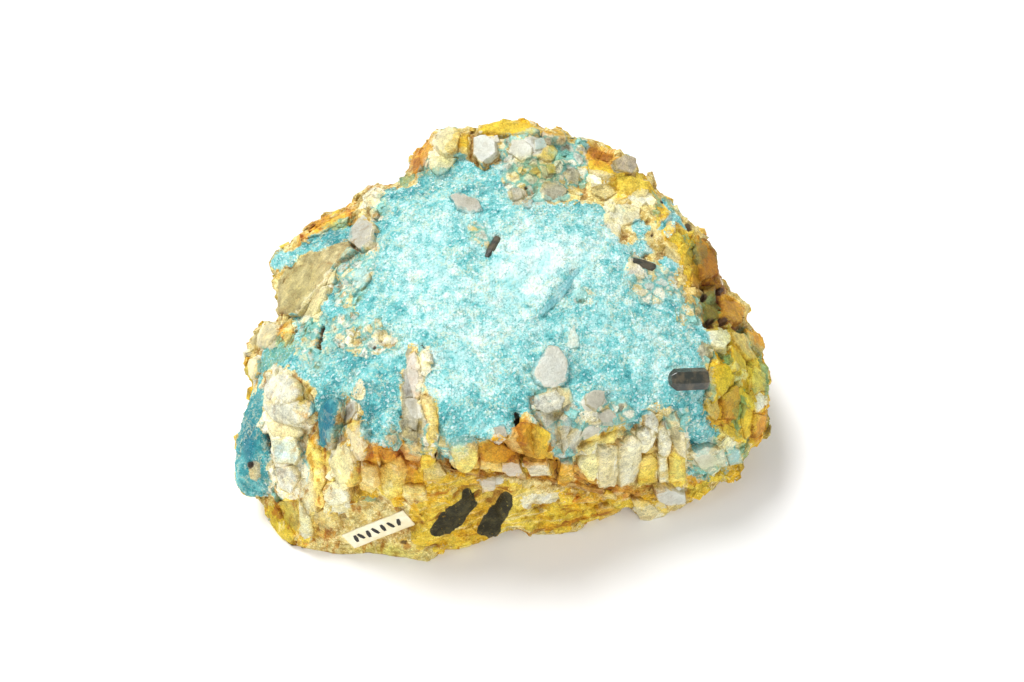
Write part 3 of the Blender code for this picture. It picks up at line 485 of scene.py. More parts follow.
def shape_depth(x, y, shape):
    """Pixels inside a shape; negative outside it."""
    word, spots = shape
    if word == "area":
        return area_depth(x, y, spots)
    if word == "line":
        return 0.5 * spots[0][0] - line_distance(x, y, spots[1:])
    cx, cy, rx, ry, *turn = spots[0]
    turn = math.radians(turn[0] if turn else 0.0)
    c, s = math.cos(turn), math.sin(turn)
    dx, dy = x - cx, -(y - cy)
    q = np.hypot((dx * c + dy * s) / rx, (dy * c - dx * s) / ry)
    return (1.0 - q) * min(rx, ry)


def add_object(name, data):
    item = bpy.data.objects.new(name, data)
    bpy.context.scene.collection.objects.link(item)
    return item


def fine_copy(node, voxel):
    """A copy of a node's mesh, welded and remeshed to an even fine grid."""
    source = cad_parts[node]
    bm = bmesh.new()
    bm.from_mesh(source.data)
    bmesh.ops.remove_doubles(bm, verts=bm.verts[:], dist=WELD)
    mesh = bpy.data.meshes.new(node + "_fine")
    bm.to_mesh(mesh)
    bm.free()
    holder = add_object("fine_copy", mesh)
    remesh = holder.modifiers.new("fine", "REMESH")
    remesh.mode = "VOXEL"
    remesh.voxel_size = voxel * MM
    graph = bpy.context.evaluated_depsgraph_get()
    result = bpy.data.meshes.new_from_object(holder.evaluated_get(graph))
    bpy.data.objects.remove(holder, do_unlink=True)
    return result


def read_vectors(items, field, width=3):
    out = np.empty(len(items) * width, dtype=np.float64)
    items.foreach_get(field, out)
    return out.reshape(-1, width)


class Surface:
    """The seen surface as arrays, in mm."""

    def __init__(self, mesh):
        self.mesh = mesh
        self.co = read_vectors(mesh.vertices, "co") / MM
        edges = np.empty(len(mesh.edges) * 2, dtype=np.int64)
        mesh.edges.foreach_get("vertices", edges)
        self.edges = edges.reshape(-1, 2)

    def smooth(self, values, passes, weight=0.5):
        a, b = self.edges[:, 0], self.edges[:, 1]
        count = np.bincount(self.edges.ravel(), minlength=len(self.co)).astype(float)
        values = values.copy()
        flat = values.ndim == 1
        for _ in range(passes):
            columns = values[:, None] if flat else values
            mean = np.empty_like(columns)
            for k in range(columns.shape[1]):
                total = np.bincount(a, columns[b, k], len(self.co))
                total += np.bincount(b, columns[a, k], len(self.co))
                mean[:, k] = total / np.maximum(count, 1)
            columns = columns + weight * (mean - columns)
            values = columns[:, 0] if flat else columns
        return values

    def write(self):
        self.mesh.vertices.foreach_set("co", (self.co * MM).ravel())
        self.mesh.update()

    def normals(self):
        self.write()
        return read_vectors(self.mesh.vertices, "normal")

    def sight(self):
        seen = self.co - EYE
        ahead = seen @ SIGHT_IN
        x = PX_CENTRE[0] + FOCAL_PX * seen[:, 0] / ahead
        y = PX_CENTRE[1] - FOCAL_PX * (seen @ SIGHT_UP) / ahead
        return x, y

    def tree(self):
        return BVHTree.FromPolygons(
            [tuple(c) for c in self.co], [tuple(p.vertices) for p in self.mesh.polygons])

    def seen_amount(self, normals):
        """1 where the surface is open to the sight lines, 0 where it is hidden."""
        tree = self.tree()
        to_eye = EYE - self.co
        to_eye /= np.linalg.norm(to_eye, axis=1)[:, None]
        facing = np.sum(normals * to_eye, axis=1)
        seen = np.zeros(len(self.co))
        for i in np.nonzero(facing > 0.0)[0]:
            start = Vector(self.co[i] + normals[i] * 0.4 + to_eye[i] * 0.3)
            if tree.ray_cast(start, Vector(to_eye[i]))[0] is None:
                seen[i] = 1.0
        return self.smooth(seen, 3)

    def attribute(self, name, values):
        write_values(self.mesh, name, values)


def fractal(co, scale, octaves=3, offset=0.0):
    shift = Vector((offset, offset * 0.7, -offset))
    return np.array([noise.fractal(Vector(c) / scale + shift, 0.9, 2.1, octaves) for c in co])


def facets(co, scale, tilt, offset=0.0):
    """Broken faces: the lowest of the nearest few tilted planes, in mm."""
    shift = Vector((offset, -offset, offset * 0.4))
    reach, rise = 0.7, 3.0
    out = np.empty(len(co))
    for i, c in enumerate(co):
        at = Vector(c) / scale + shift
        distances, middles = noise.voronoi(at)
        out[i] = min(
            (at - middle).dot(noise.noise_vector(middle * 7.3)) * tilt + rise * max(0.0, away - reach) ** 2
            for away, middle in zip(distances, middles))
    return out * scale


def wander(co):
    """Slow shifts in pixels, so that no edge runs as a drawn line."""
    wide, near = 5.0, 3.5
    dx = wide * fractal(co, 2.6, 2, 101.0) + near * fractal(co, 0.9, 2, 113.0)
    dy = wide * fractal(co, 2.6, 2, 127.0) + near * fractal(co, 0.9, 2, 131.0)
    return dx, dy


# How much of that shift the edges of a kind take; the others take all of it.
STEADY = {
    "white": 0.7, "grey": 0.6, "tan": 0.6, "quartz": 0.35, "pit": 0.2, "paint": 0.25, "honey": 0.8,
}


def kind_depths(x, y, shift):
    """How far inside the drawn shapes of each kind a place is, in mm."""
    depths = {}
    for name, shapes in KINDS.items():
        best = np.full(x.shape, FAR_OUTSIDE_PX)
        follow = STEADY.get(name, 1.0)
        for shape in shapes:
            best = np.maximum(best, shape_depth(x + follow * shift[0], y + follow * shift[1], shape))
        depths[name] = best / PX_PER_MM
    return depths


# Kinds on the hidden sides: wave length in mm and octaves of the noise that
# spreads them, its place, and how strong and how common they are.
HIDDEN = {
    "yellow": (9.0, 3, 3.0, 1.8, 0.5), "rust": (4.5, 3, 8.0, 2.4, -1.4),
    "white": (5.5, 2, 20.0, 2.2, -0.9), "grey": (4.2, 2, 31.0, 2.2, -1.2),
    "blue": (6.0, 3, 43.0, 2.2, -1.2), "quartz": (3.4, 2, 77.0, 2.0, -1.5),
    "lace": (4.0, 2, 71.0, 2.2, -1.1), "green": (3.6, 2, 55.0, 2.0, -1.4),
    "honey": (3.0, 2, 61.0, 2.0, -1.2),
}


def hidden_depths(co):
    """Kinds on the sides that the sight lines don't reach, from slow noise."""
    out = {name: np.full(len(co), -1.5) for name in KINDS}
    for name, (wave, octaves, offset, strength, common) in HIDDEN.items():
        out[name] = strength * fractal(co, wave, octaves, offset) + common
    out["blue"] += np.clip((co[:, 2] - 20.0) / 6.0, -1.0, 1.0)
    return out


def soft_field(x, y, spots):
    total = np.zeros(x.shape)
    for cx, cy, rx, ry, amount in spots:
        total += amount * np.exp(-((x - cx) / rx) ** 2 - ((y - cy) / ry) ** 2)
    return total


HIDDEN_TONE = -0.6


def crust_tone(x, y, seen):
    return np.clip(soft_field(x, y, TONES) * seen + HIDDEN_TONE * (1 - seen), -2.0, 1.8)


def plate_amount(x, y, seen):
    return np.clip(soft_field(x, y, PLATES), 0.0, 1.0) * seen


def groove_depth(x, y):
    total = np.zeros(x.shape)
    for width, deep, points in GROOVES:
        near = line_distance(x, y, points) / (0.5 * width)
        cut = deep * np.clip(1.4 - near, 0.0, 1.0)
        total = np.where(np.abs(cut) > np.abs(total), cut, total)
    return total


def covered_depth(x, y):
    """Pixels inside the blocks and the dark crystals; negative outside them."""
    rim = 4
    best = np.full(x.shape, FAR_OUTSIDE_PX)
    for _, _, _, points in BLOCKS:
        xs, ys = [p[0] for p in points], [p[1] for p in points]
        near = (x > min(xs) - rim) & (x < max(xs) + rim) & (y > min(ys) - rim) & (y < max(ys) + rim)
        best[near] = np.maximum(best[near], area_depth(x[near], y[near], points))
    for a, b, half, _, _ in CRYSTALS:
        best = np.maximum(best, half * PX_PER_MM - segment_distance(x, y, a, b))
    return best


def step(low, high, value):
    """0 below low, 1 above high, smooth between them."""
    t = np.clip((value - low) / (high - low), 0.0, 1.0)
    return t * t * (3 - 2 * t)


def label_distance(co):
    low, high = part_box("label")
    return np.linalg.norm(co - 0.5 * (np.array(low) + np.array(high)) / MM, axis=1)


# Relief of the stone's broken faces and waves, in mm.
LARGE_FACE, LARGE_TILT = 4.2, 0.34
SMALL_FACE, SMALL_TILT = 2.0, 0.30
CRUST_FACE, CRUST_FACE_HEIGHT = 0.9, 0.10
FOOT_HEIGHT = 0.3
PIT_DEPTH = 0.3


def build_stone():
    """The stone with its broken faces, pits and grooves, and what grows where on it."""
    mesh = fine_copy("stone", VOXEL_MM)
    surface = Surface(mesh)
    foot = surface.co[:, 2] < FOOT_HEIGHT
    resting = surface.co[:, 2].copy()
    surface.co = surface.smooth(surface.co, 2)
    surface.co[foot, 2] = np.minimum(surface.co[foot, 2], resting[foot])
    normals = surface.normals()
    seen = surface.seen_amount(normals)
    x, y = surface.sight()
    shift = wander(surface.co)
    drawn = kind_depths(x, y, shift)
    guessed = hidden_depths(surface.co)
    kinds = {n: guessed[n] + (drawn[n] - guessed[n]) * step(0.1, 0.7, seen) for n in KINDS}

    grain = np.max([kinds[name] for name in ("white", "grey", "tan", "quartz")], axis=0)
    crust = step(-0.1, 0.4, kinds["blue"]) * (1 - step(-0.2, 0.3, grain))
    crust *= 1 - 0.75 * step(-0.1, 0.3, kinds["lace"])
    clean = step(-0.1, 0.4, grain)
    flat = step(-0.1, 0.3, np.maximum(kinds["tan"], kinds["quartz"]))
    covered = step(-1.5, 1.0, covered_depth(x, y)) * step(0.2, 0.8, seen)
    flat = np.maximum(flat, covered)
    rock = 1.0 - crust
    lift = 0.10 * crust
    lift += rock * (facets(surface.co, LARGE_FACE, LARGE_TILT, 2.0) + 0.1) * (1 - 0.8 * flat)
    lift += rock * (facets(surface.co, SMALL_FACE, SMALL_TILT, 9.0) + 0.1) * (1 - 0.75 * flat)
    lift += rock * 0.10 * fractal(surface.co, 0.6, 2, 14.0) * (1 - 0.5 * clean)
    lift += crust * (0.16 * fractal(surface.co, 2.4, 3, 5.0) + 0.14 * fractal(surface.co, 0.8, 2, 17.0))
    lift += crust * CRUST_FACE_HEIGHT * facets(surface.co, CRUST_FACE, 1.0, 33.0)
    lift -= groove_depth(x, y) * step(0.2, 0.7, seen)
    lift -= PIT_DEPTH * step(-0.1, 0.15, kinds["pit"])
    lift += 0.08 * step(0.0, 0.5, grain) * step(0.2, 0.7, seen)

    lift *= 0.25 + 0.75 * step(4.0, 6.0, label_distance(surface.co))
    lift *= step(0.0, 0.6, surface.co[:, 2])
    surface.co += normals * lift[:, None]
    surface.co[:, 2] = np.maximum(surface.co[:, 2], 0.0)
    surface.co[foot & (surface.co[:, 2] < 0.25), 2] = 0.0
    surface.co = np.clip(surface.co, BOX_LOW, BOX_HIGH)
    normals = surface.normals()
    hollow = np.sum((surface.smooth(surface.co, 10, 0.7) - surface.co) * normals, axis=1)
    surface.attribute("hollow", np.clip(surface.smooth(hollow, 1) * 4.0, -1.0, 1.0))
    for name in KINDS:
        surface.attribute("k_" + name, np.clip(kinds[name], -1.5, 1.5))
    surface.attribute("tone", crust_tone(x, y, seen))
    surface.attribute("crust", crust)
    surface.attribute("plate", plate_amount(x, y, seen))
    slow = fractal(surface.co, 7.0, 3, 83.0)
    warmth = soft_field(x, y, WARMTH) * seen + slow * (1.3 - seen)
    surface.attribute("warmth", np.clip(warmth, -1.0, 1.0))
    pale = fractal(surface.co, 5.0, 3, 97.0)
    light = soft_field(x, y, LIGHT) * seen + 0.7 * pale * (1.2 - seen)
    surface.attribute("light", np.clip(light, -1.0, 1.0))
    upright = step(440.0, 390.0, x) * seen
    surface.attribute("upright", upright)
    level_band = step(470.0, 490.0, y) * step(680.0, 640.0, x)
    banded = np.maximum(upright, level_band) * seen + 0.5 * (1 - seen)
    surface.attribute("banded", banded * (1 - 0.7 * clean))
    surface.attribute("shade", np.zeros(len(x)))
    mesh.polygons.foreach_set("use_smooth", np.ones(len(mesh.polygons), dtype=bool))
    return add_object("stone_surface", mesh), surface, kinds, crust, seen, covered


def in_box(spot):
    return Vector(np.clip(np.array(spot), BOX_LOW, BOX_HIGH))


class Nodes:
    """Short calls for a material's node tree."""

    def __init__(self, material):
        material.use_nodes = True
        self.tree = material.node_tree
        self.shader = self.tree.nodes["Principled BSDF"]

    def add(self, kind, **settings):
        node = self.tree.nodes.new(kind)
        for key, value in settings.items():
            setattr(node, key, value)
        return node

    def plug(self, value, socket):
        if isinstance(value, (int, float)):
            socket.default_value = value
        elif isinstance(value, tuple):
            socket.default_value = (*value, 1.0) if len(value) == 3 else value
        else:
            self.tree.links.new(value, socket)

    def read(self, name):
        return self.add("ShaderNodeAttribute", attribute_name=name).outputs["Fac"]

    def math(self, operation, a, b=0.0, c=0.0):
        node = self.add("ShaderNodeMath", operation=operation)
        for value, socket in zip((a, b, c), node.inputs):
            self.plug(value, socket)
        return node.outputs[0]

    def times(self, a, b):
        return self.math("MULTIPLY", a, b)

    def add_scaled(self, a, factor, b):
        return self.math("MULTIPLY_ADD", a, factor, b)

    def centred(self, value):
        return self.math("SUBTRACT", value, 0.5)

    def rest(self, value):
        return self.math("SUBTRACT", 1.0, value)

    def ramp(self, value, low, high, out_low=0.0, out_high=1.0, smooth=True):
        node = self.add("ShaderNodeMapRange", interpolation_type="SMOOTHSTEP" if smooth else "LINEAR")
        for value_in, name in zip((value, low, high, out_low, out_high),
                                  ("Value", "From Min", "From Max", "To Min", "To Max")):
            self.plug(value_in, node.inputs[name])
        return node.outputs[0]

    def mix(self, factor, a, b, blend="MIX"):
        node = self.add("ShaderNodeMix", data_type="RGBA", blend_type=blend)
        self.plug(factor, node.inputs[0])
        self.plug(a, node.inputs[6])
        self.plug(b, node.inputs[7])
        return node.outputs[2]

    def layers(self, base, *rows):
        """A colour with others laid over it where a value runs from low to high."""
        colour = srgb(*base) if isinstance(base, tuple) else base
        for value, low, high, over, *most in rows:
            colour = self.mix(self.ramp(value, low, high, 0.0, *most), colour, srgb(*over))
        return colour

    def place(self):
        return self.add("ShaderNodeTexCoord").outputs["Object"]

    def grey(self, value):
        node = self.add("ShaderNodeCombineColor")
        for socket in node.inputs[:3]:
            self.plug(value, socket)
        return node.outputs[0]

    def noise(self, where, size_mm, detail=3.0, rough=0.55, shift=0.0, stretch=(1.0, 1.0, 1.0)):
        mapping = self.add("ShaderNodeMapping")
        mapping.inputs["Scale"].default_value = stretch
        mapping.inputs["Location"].default_value = (shift, shift * 0.6, -shift)
        self.plug(where, mapping.inputs["Vector"])
        node = self.add("ShaderNodeTexNoise")
        self.plug(mapping.outputs[0], node.inputs["Vector"])
        node.inputs["Scale"].default_value = 1.0 / (size_mm * MM)
        node.inputs["Detail"].default_value = detail
        node.inputs["Roughness"].default_value = rough
        return node.outputs["Fac"]

    def warp(self, where, size_mm, amount_mm):
        """Places pushed about by noise, so that patches get ragged sides."""
        node = self.add("ShaderNodeTexNoise")
        self.plug(where, node.inputs["Vector"])
        node.inputs["Scale"].default_value = 1.0 / (size_mm * MM)
        node.inputs["Detail"].default_value = 2.0
        push = self.add("ShaderNodeVectorMath", operation="SUBTRACT")
        self.plug(node.outputs["Color"], push.inputs[0])
        push.inputs[1].default_value = (0.5, 0.5, 0.5)
        moved = self.add("ShaderNodeVectorMath", operation="MULTIPLY_ADD")
        self.plug(push.outputs[0], moved.inputs[0])
        moved.inputs[1].default_value = (amount_mm * MM,) * 3
        self.plug(where, moved.inputs[2])
        return moved.outputs[0]

    def ridge(self, value, width):
        """1 along the middle level of a noise, 0 away from it: thin wandering lines."""
        off = self.math("ABSOLUTE", self.centred(value))
        return self.ramp(off, 0.0, width, 1.0, 0.0)

    def cell(self, where, size_mm, output="Distance", feature="F1"):
        node = self.add("ShaderNodeTexVoronoi", feature=feature)
        self.plug(where, node.inputs["Vector"])
        node.inputs["Scale"].default_value = 1.0 / (size_mm * MM)
        return node.outputs[output]

    def value_of(self, colour):
        node = self.add("ShaderNodeSeparateColor")
        self.plug(colour, node.inputs[0])
        return node.outputs[0]

    def bump(self, height, distance_mm, strength):
        node = self.add("ShaderNodeBump")
        node.inputs["Strength"].default_value = strength
        node.inputs["Distance"].default_value = distance_mm * MM
        self.plug(height, node.inputs["Height"])
        return node.outputs[0]


def srgb(r, g, b):
    """Linear colour from 0-255 values as seen on a screen."""
    def one(c):
        c /= 255.0
        return c / 12.92 if c <= 0.04045 else ((c + 0.055) / 1.055) ** 2.4
    return (one(r), one(g), one(b))


class Textures:
    """Noises at several sizes that the stone's colours share, on warped places."""

    def __init__(self, n):
        self.place = n.place()
        self.at = n.warp(self.place, 1.2, 0.7)
        swirl = n.warp(self.place, 3.0, 4.0)
        self.coarse = n.noise(self.at, 3.0, 3.0, 0.6)
        self.wide = n.noise(swirl, 2.4, 4.0, 0.65, 0.057)
        self.mid = n.noise(self.at, 1.1, 4.0, 0.6, 0.013)
        self.fine = n.noise(self.place, 0.35, 3.0, 0.65, 0.029)
        self.finest = n.noise(self.place, 0.15, 2.0, 0.7, 0.041)
        self.speck = n.value_of(n.cell(self.place, 0.26, "Color"))
        self.grain = n.value_of(n.cell(self.at, 0.8, "Color"))


def crust_colour(n, t):
    """Drusy crust: white to deep turquoise, with cream threads and olive specks."""
    tone = n.read("tone")
    plate = n.ramp(n.add_scaled(n.centred(t.wide), 1.6, n.read("plate")), 0.28, 0.62)
    grainy = n.rest(n.times(plate, 0.85))
    # the tone field lightens and deepens the crust: partly its own colour, partly painted sheen and painted
    # shade
    level = n.add_scaled(tone, 0.26, 0.42)
    for texture, strength in ((t.coarse, 0.4), (t.wide, 1.4)):
        level = n.add_scaled(n.centred(texture), strength, level)
    fine = n.times(n.centred(t.mid), 0.9)
    for texture, strength in ((t.fine, 0.55), (t.finest, 0.7)):
        fine = n.add_scaled(n.centred(texture), strength, fine)
    level = n.add_scaled(fine, grainy, level)
    blue = n.layers((52, 142, 148), (level, 0.02, 0.34, (110, 196, 196)),
        (level, 0.32, 0.60, (170, 224, 222)), (level, 0.56, 0.90, (228, 248, 242)),
        (tone, -1.7, -2.0, (12, 104, 124), 0.75))

    threads = n.ridge(n.noise(t.at, 1.6, 5.0, 0.7, 0.083), 0.045)
    threads = n.times(threads, n.ramp(t.coarse, 0.42, 0.58))
    blue = n.mix(n.times(threads, 0.6), blue, srgb(224, 222, 184))
    veins = n.ridge(n.noise(t.at, 2.6, 4.0, 0.6, 0.19), 0.02)
    blue = n.mix(n.times(veins, 0.6), blue, srgb(74, 156, 158))
    cream = n.ramp(n.noise(t.at, 0.45, 4.0, 0.75, 0.11), 0.57, 0.66)
    cream = n.times(cream, n.ramp(t.mid, 0.38, 0.6, 0.0, 0.65))
    blue = n.mix(n.times(cream, grainy), blue, srgb(236, 232, 206))
    olive = n.ramp(n.noise(t.place, 0.20, 2.0, 0.7, 0.17), 0.62, 0.72, 0.0, 0.8)
    blue = n.mix(n.times(olive, grainy), blue, srgb(104, 128, 92))
    bright = n.times(n.ramp(t.speck, 0.80, 0.98, 0.0, 0.6), n.ramp(tone, -1.6, -0.6, 0.2, 1.0))
    return n.mix(n.times(bright, grainy), blue, srgb(240, 252, 250))


def lace_colour(n, t):
    """Quartz grains of a millimetre or two, set in thin turquoise seams."""
    pick = n.value_of(n.cell(t.at, 1.7, "Color"))
    pick = n.add_scaled(n.centred(t.mid), 0.9, pick)
    colour = n.layers((196, 204, 190), (pick, 0.18, 0.30, (232, 230, 206)),
        (pick, 0.40, 0.50, (212, 190, 116)), (pick, 0.55, 0.65, (224, 216, 176)),
        (pick, 0.74, 0.84, (150, 206, 198)))
    edge = n.cell(t.at, 1.7, "Distance", "DISTANCE_TO_EDGE")
    edge = n.add_scaled(n.centred(t.fine), 0.30, edge)
    return n.layers(
        colour, (edge, 0.16, 0.02, (98, 174, 166), 0.85), (t.fine, 0.58, 0.72, (150, 134, 84), 0.6))


def stone_material():
    material = bpy.data.materials.new("turquoise_on_quartz")
    n = Nodes(material)
    t = Textures(n)
    ragged = n.centred(t.mid)
    ragged = n.add_scaled(n.centred(t.fine), 0.8, ragged)

    def mask(kind, amount, soft=0.07):
        depth = n.add_scaled(ragged, amount, n.read("k_" + kind))
        return n.ramp(depth, -soft, soft)

    # bare rock: tan and cream grains
    colour = n.layers((200, 166, 80), (t.mid, 0.35, 0.65, (234, 218, 146)),
        (t.fine, 0.55, 0.75, (176, 138, 58)), (t.speck, 0.75, 0.95, (244, 232, 176), 0.6))

    yellow = n.layers((234, 206, 70), (t.coarse, 0.35, 0.62, (216, 168, 22)),
        (t.mid, 0.55, 0.75, (184, 138, 26)), (t.wide, 0.42, 0.30, (242, 226, 132), 0.6),
        (t.speck, 0.8, 1.0, (246, 230, 130), 0.35))
    colour = n.mix(mask("yellow", 1.2), colour, yellow)

    rust = n.layers((228, 172, 34), (t.mid, 0.35, 0.65, (190, 116, 14)),
        (t.fine, 0.55, 0.75, (118, 58, 8)), (t.coarse, 0.52, 0.68, (238, 200, 76)))
    colour = n.mix(n.times(mask("rust", 1.1, 0.2), 0.85), colour, rust)

    # a cream selvage runs round the crust
    depth = n.add_scaled(ragged, 1.0, n.read("k_blue"))
    selvage = n.times(n.ramp(depth, -0.55, -0.15, 0.0, 0.7), n.ramp(t.wide, 0.40, 0.55))
    colour = n.mix(selvage, colour, srgb(228, 216, 164))
    colour = n.mix(mask("blue", 1.1), colour, crust_colour(n, t))

    green = n.layers((92, 158, 130), (t.mid, 0.4, 0.65, (140, 160, 90)),
        (t.fine, 0.5, 0.7, (150, 196, 170)))
    colour = n.mix(n.times(mask("green", 1.2, 0.15), 0.8), colour, green)
    colour = n.mix(n.times(mask("lace", 1.4, 0.25), 0.9), colour, lace_colour(n, t))

    tan = n.layers((186, 172, 122), (t.mid, 0.35, 0.65, (170, 154, 100)),
        (t.coarse, 0.48, 0.62, (200, 186, 136)))
    colour = n.mix(mask("tan", 0.6), colour, tan)

    white = n.layers((242, 240, 218), (t.mid, 0.35, 0.65, (228, 218, 166)),
        (t.coarse, 0.55, 0.7, (210, 210, 192)), (t.fine, 0.60, 0.78, (210, 190, 118), 0.7))
    colour = n.mix(mask("white", 0.9), colour, white)

    quartz = n.layers((222, 224, 214), (t.coarse, 0.38, 0.62, (196, 192, 172)),
        (t.wide, 0.50, 0.66, (170, 168, 150), 0.8), (t.fine, 0.62, 0.80, (206, 196, 152), 0.6))
    quartz_mask = mask("quartz", 0.5, 0.05)
    rim = n.ramp(n.add_scaled(ragged, 0.5, n.read("k_quartz")), 0.45, 0.0, 0.0, 0.5)
    quartz = n.mix(rim, quartz, srgb(236, 234, 214))

    grey = n.layers((194, 190, 160), (t.mid, 0.4, 0.65, (156, 154, 132)),
        (t.coarse, 0.45, 0.65, (210, 196, 140)), (t.finest, 0.6, 0.8, (120, 112, 86)))
    colour = n.mix(mask("grey", 0.7), colour, grey)

    colour = n.mix(quartz_mask, colour, quartz)

    honey = n.layers((244, 222, 88), (t.mid, 0.4, 0.65, (226, 184, 44)))
    colour = n.mix(n.times(mask("honey", 0.9, 0.25), 0.85), colour, honey)

    # the larger crystals lean to colours of their own
    own = n.add("ShaderNodeAttribute", attribute_name="tint").outputs["Color"]
    strength = n.times(n.read("blend"), n.ramp(t.mid, 0.30, 0.70, 0.85, 0.35))
    colour = n.mix(strength, colour, own)

    # regional drift of the rock's colour, streaks along the flank, grain by grain changes
    on_crust = n.read("crust")
    rock = n.rest(on_crust)
    warmth, light = n.read("warmth"), n.read("light")
    colour = n.mix(n.times(rock, n.ramp(warmth, 0.0, 1.0, 0.0, 0.75)), colour,
                   srgb(234, 168, 40), "MULTIPLY")
    colour = n.mix(n.times(rock, n.ramp(warmth, 0.0, -1.0, 0.0, 0.85)), colour,
                   srgb(218, 224, 128), "MULTIPLY")
    colour = n.mix(n.times(rock, n.ramp(light, 0.0, 1.0, 0.0, 0.6)), colour, srgb(244, 232, 168))
    colour = n.mix(n.times(rock, n.ramp(light, 0.0, -1.0, 0.0, 0.9)), colour,
                   srgb(190, 174, 128), "MULTIPLY")
    upright = n.noise(t.place, 1.3, 4.0, 0.6, 0.021, (1.0, 1.0, 0.22))
    level = n.noise(t.place, 1.3, 4.0, 0.6, 0.034, (0.22, 0.22, 1.3))
    streak = n.value_of(n.mix(n.read("upright"), n.grey(level), n.grey(upright)))
    banded = n.times(rock, n.read("banded"))
    dark_streak = n.times(banded, n.ramp(streak, 0.54, 0.64, 0.0, 0.85))
    colour = n.mix(dark_streak, colour, srgb(208, 156, 56), "MULTIPLY")
    light_streak = n.times(banded, n.ramp(streak, 0.46, 0.34, 0.0, 0.5))
    colour = n.mix(light_streak, colour, srgb(246, 236, 178))
    patch = n.value_of(n.cell(t.at, 1.9, "Color"))
    change = n.ramp(patch, 0.0, 1.0, -0.14, 0.12, False)
    for texture, spread in ((t.grain, 0.15), (t.speck, 0.12)):
        change = n.math("ADD", change, n.ramp(texture, 0.0, 1.0, -spread, spread, False))
    change = n.math("ADD", change, n.ramp(t.finest, 0.3, 0.7, 0.68, 1.30, False))
    change = n.add_scaled(n.read("shade"), 0.16, change)
    grained = n.times(rock, n.rest(n.times(quartz_mask, 0.7)))
    colour = n.mix(grained, colour, n.grey(change), "MULTIPLY")

    # loose specks of blue and iron on everything
    dust = n.ramp(n.noise(t.place, 0.5, 3.0, 0.7, 0.07), 0.66, 0.72)
    near_blue = n.ramp(n.read("k_blue"), -0.9, -0.1, 0.0, 0.7)
    colour = n.mix(n.times(dust, near_blue), colour, srgb(130, 190, 172))
    rusty = n.ramp(n.noise(t.place, 0.36, 3.0, 0.7, 0.09), 0.63, 0.70, 0.0, 0.65)
    off_blue = n.ramp(n.read("k_blue"), 0.2, -0.3)
    colour = n.mix(n.times(rusty, off_blue), colour, srgb(142, 100, 40))

    # painted shade in the hollows, tinted like iron stain, and painted light on the high points
    hollow = n.read("hollow")
    # painted shade: the hollows are darkened by multiplying in a stain-tinted colour
    deep = n.ramp(hollow, 0.08, 0.7, 0.0, 0.8)
    clean = n.math("MAXIMUM", n.math("MAXIMUM", mask("grey", 0.6), mask("white", 0.8)), quartz_mask)
    hollow_shade_and_stain = n.mix(clean, srgb(160, 112, 26), srgb(206, 182, 96))
    hollow_shade_and_stain = n.mix(on_crust, hollow_shade_and_stain, srgb(50, 128, 132))
    colour = n.mix(n.times(deep, n.ramp(t.fine, 0.3, 0.6, 0.5, 1.0)), colour, hollow_shade_and_stain, "MULTIPLY")
    # painted highlight: the high points are lightened with a soft white
    painted_highlight = n.ramp(hollow, -0.1, -0.6, 0.0, 0.2)
    colour = n.mix(painted_highlight, colour, (1.0, 1.0, 1.0), "SOFT_LIGHT")

    # pits and cracks are painted dark brown: partly painted shade in the recesses, partly iron stain
    pit = mask("pit", 0.3, 0.1)
    colour = n.mix(n.times(pit, 0.9), colour, srgb(58, 34, 16))
    paint = mask("paint", 0.35, 0.05)
    paint_colour = n.layers((44, 40, 16), (t.mid, 0.4, 0.7, (78, 72, 40)))
    worn = n.ramp(t.fine, 0.70, 0.62, 0.6, 1.0)
    colour = n.mix(n.times(paint, worn), colour, paint_colour)
    n.plug(colour, n.shader.inputs["Base Color"])

    rough = n.mix(on_crust, (0.60, 0.60, 0.60), (0.42, 0.42, 0.42))
    rough = n.mix(clean, rough, (0.34, 0.34, 0.34))
    rough = n.mix(quartz_mask, rough, (0.20, 0.20, 0.20))
    rough = n.mix(paint, rough, (0.5, 0.5, 0.5))
    n.plug(n.value_of(rough), n.shader.inputs["Roughness"])
    n.shader.inputs["Specular IOR Level"].default_value = 0.28

    tips = n.cell(t.place, 0.42)
    relief = n.add_scaled(on_crust, n.times(tips, -0.9), n.times(t.fine, 0.9))
    relief = n.add_scaled(t.finest, 0.45, relief)
    relief = n.add_scaled(t.mid, 0.6, relief)
    n.plug(n.bump(relief, 0.28, 0.75), n.shader.inputs["Normal"])
    return material


def crystal_material():
    material = bpy.data.materials.new("turquoise_druse")
    n = Nodes(material)
    blue = crust_colour(n, Textures(n))
    shade = n.read("shade")
    blue = n.layers(blue, (shade, 0.6, 1.0, (236, 250, 246), 0.25), (shade, 0.5, 0.0, (72, 158, 160), 0.3))
    n.plug(blue, n.shader.inputs["Base Color"])
    n.shader.inputs["Roughness"].default_value = 0.4
    n.shader.inputs["Specular IOR Level"].default_value = 0.35
    return material


# Pointed crystals: how many, and their half widths, lean and root in mm.
DRUSE_COUNT = 15000
DRUSE_SIZES = (0.11, 0.25)
DRUSE_LEAN = 0.45
DRUSE_SUNK = 0.10


def new_mesh(name, verts, faces):
    """A mesh of points in mm and faces."""
    mesh = bpy.data.meshes.new(name)
    mesh.from_pydata([tuple(v * MM) for v in verts], [], faces)
    return mesh


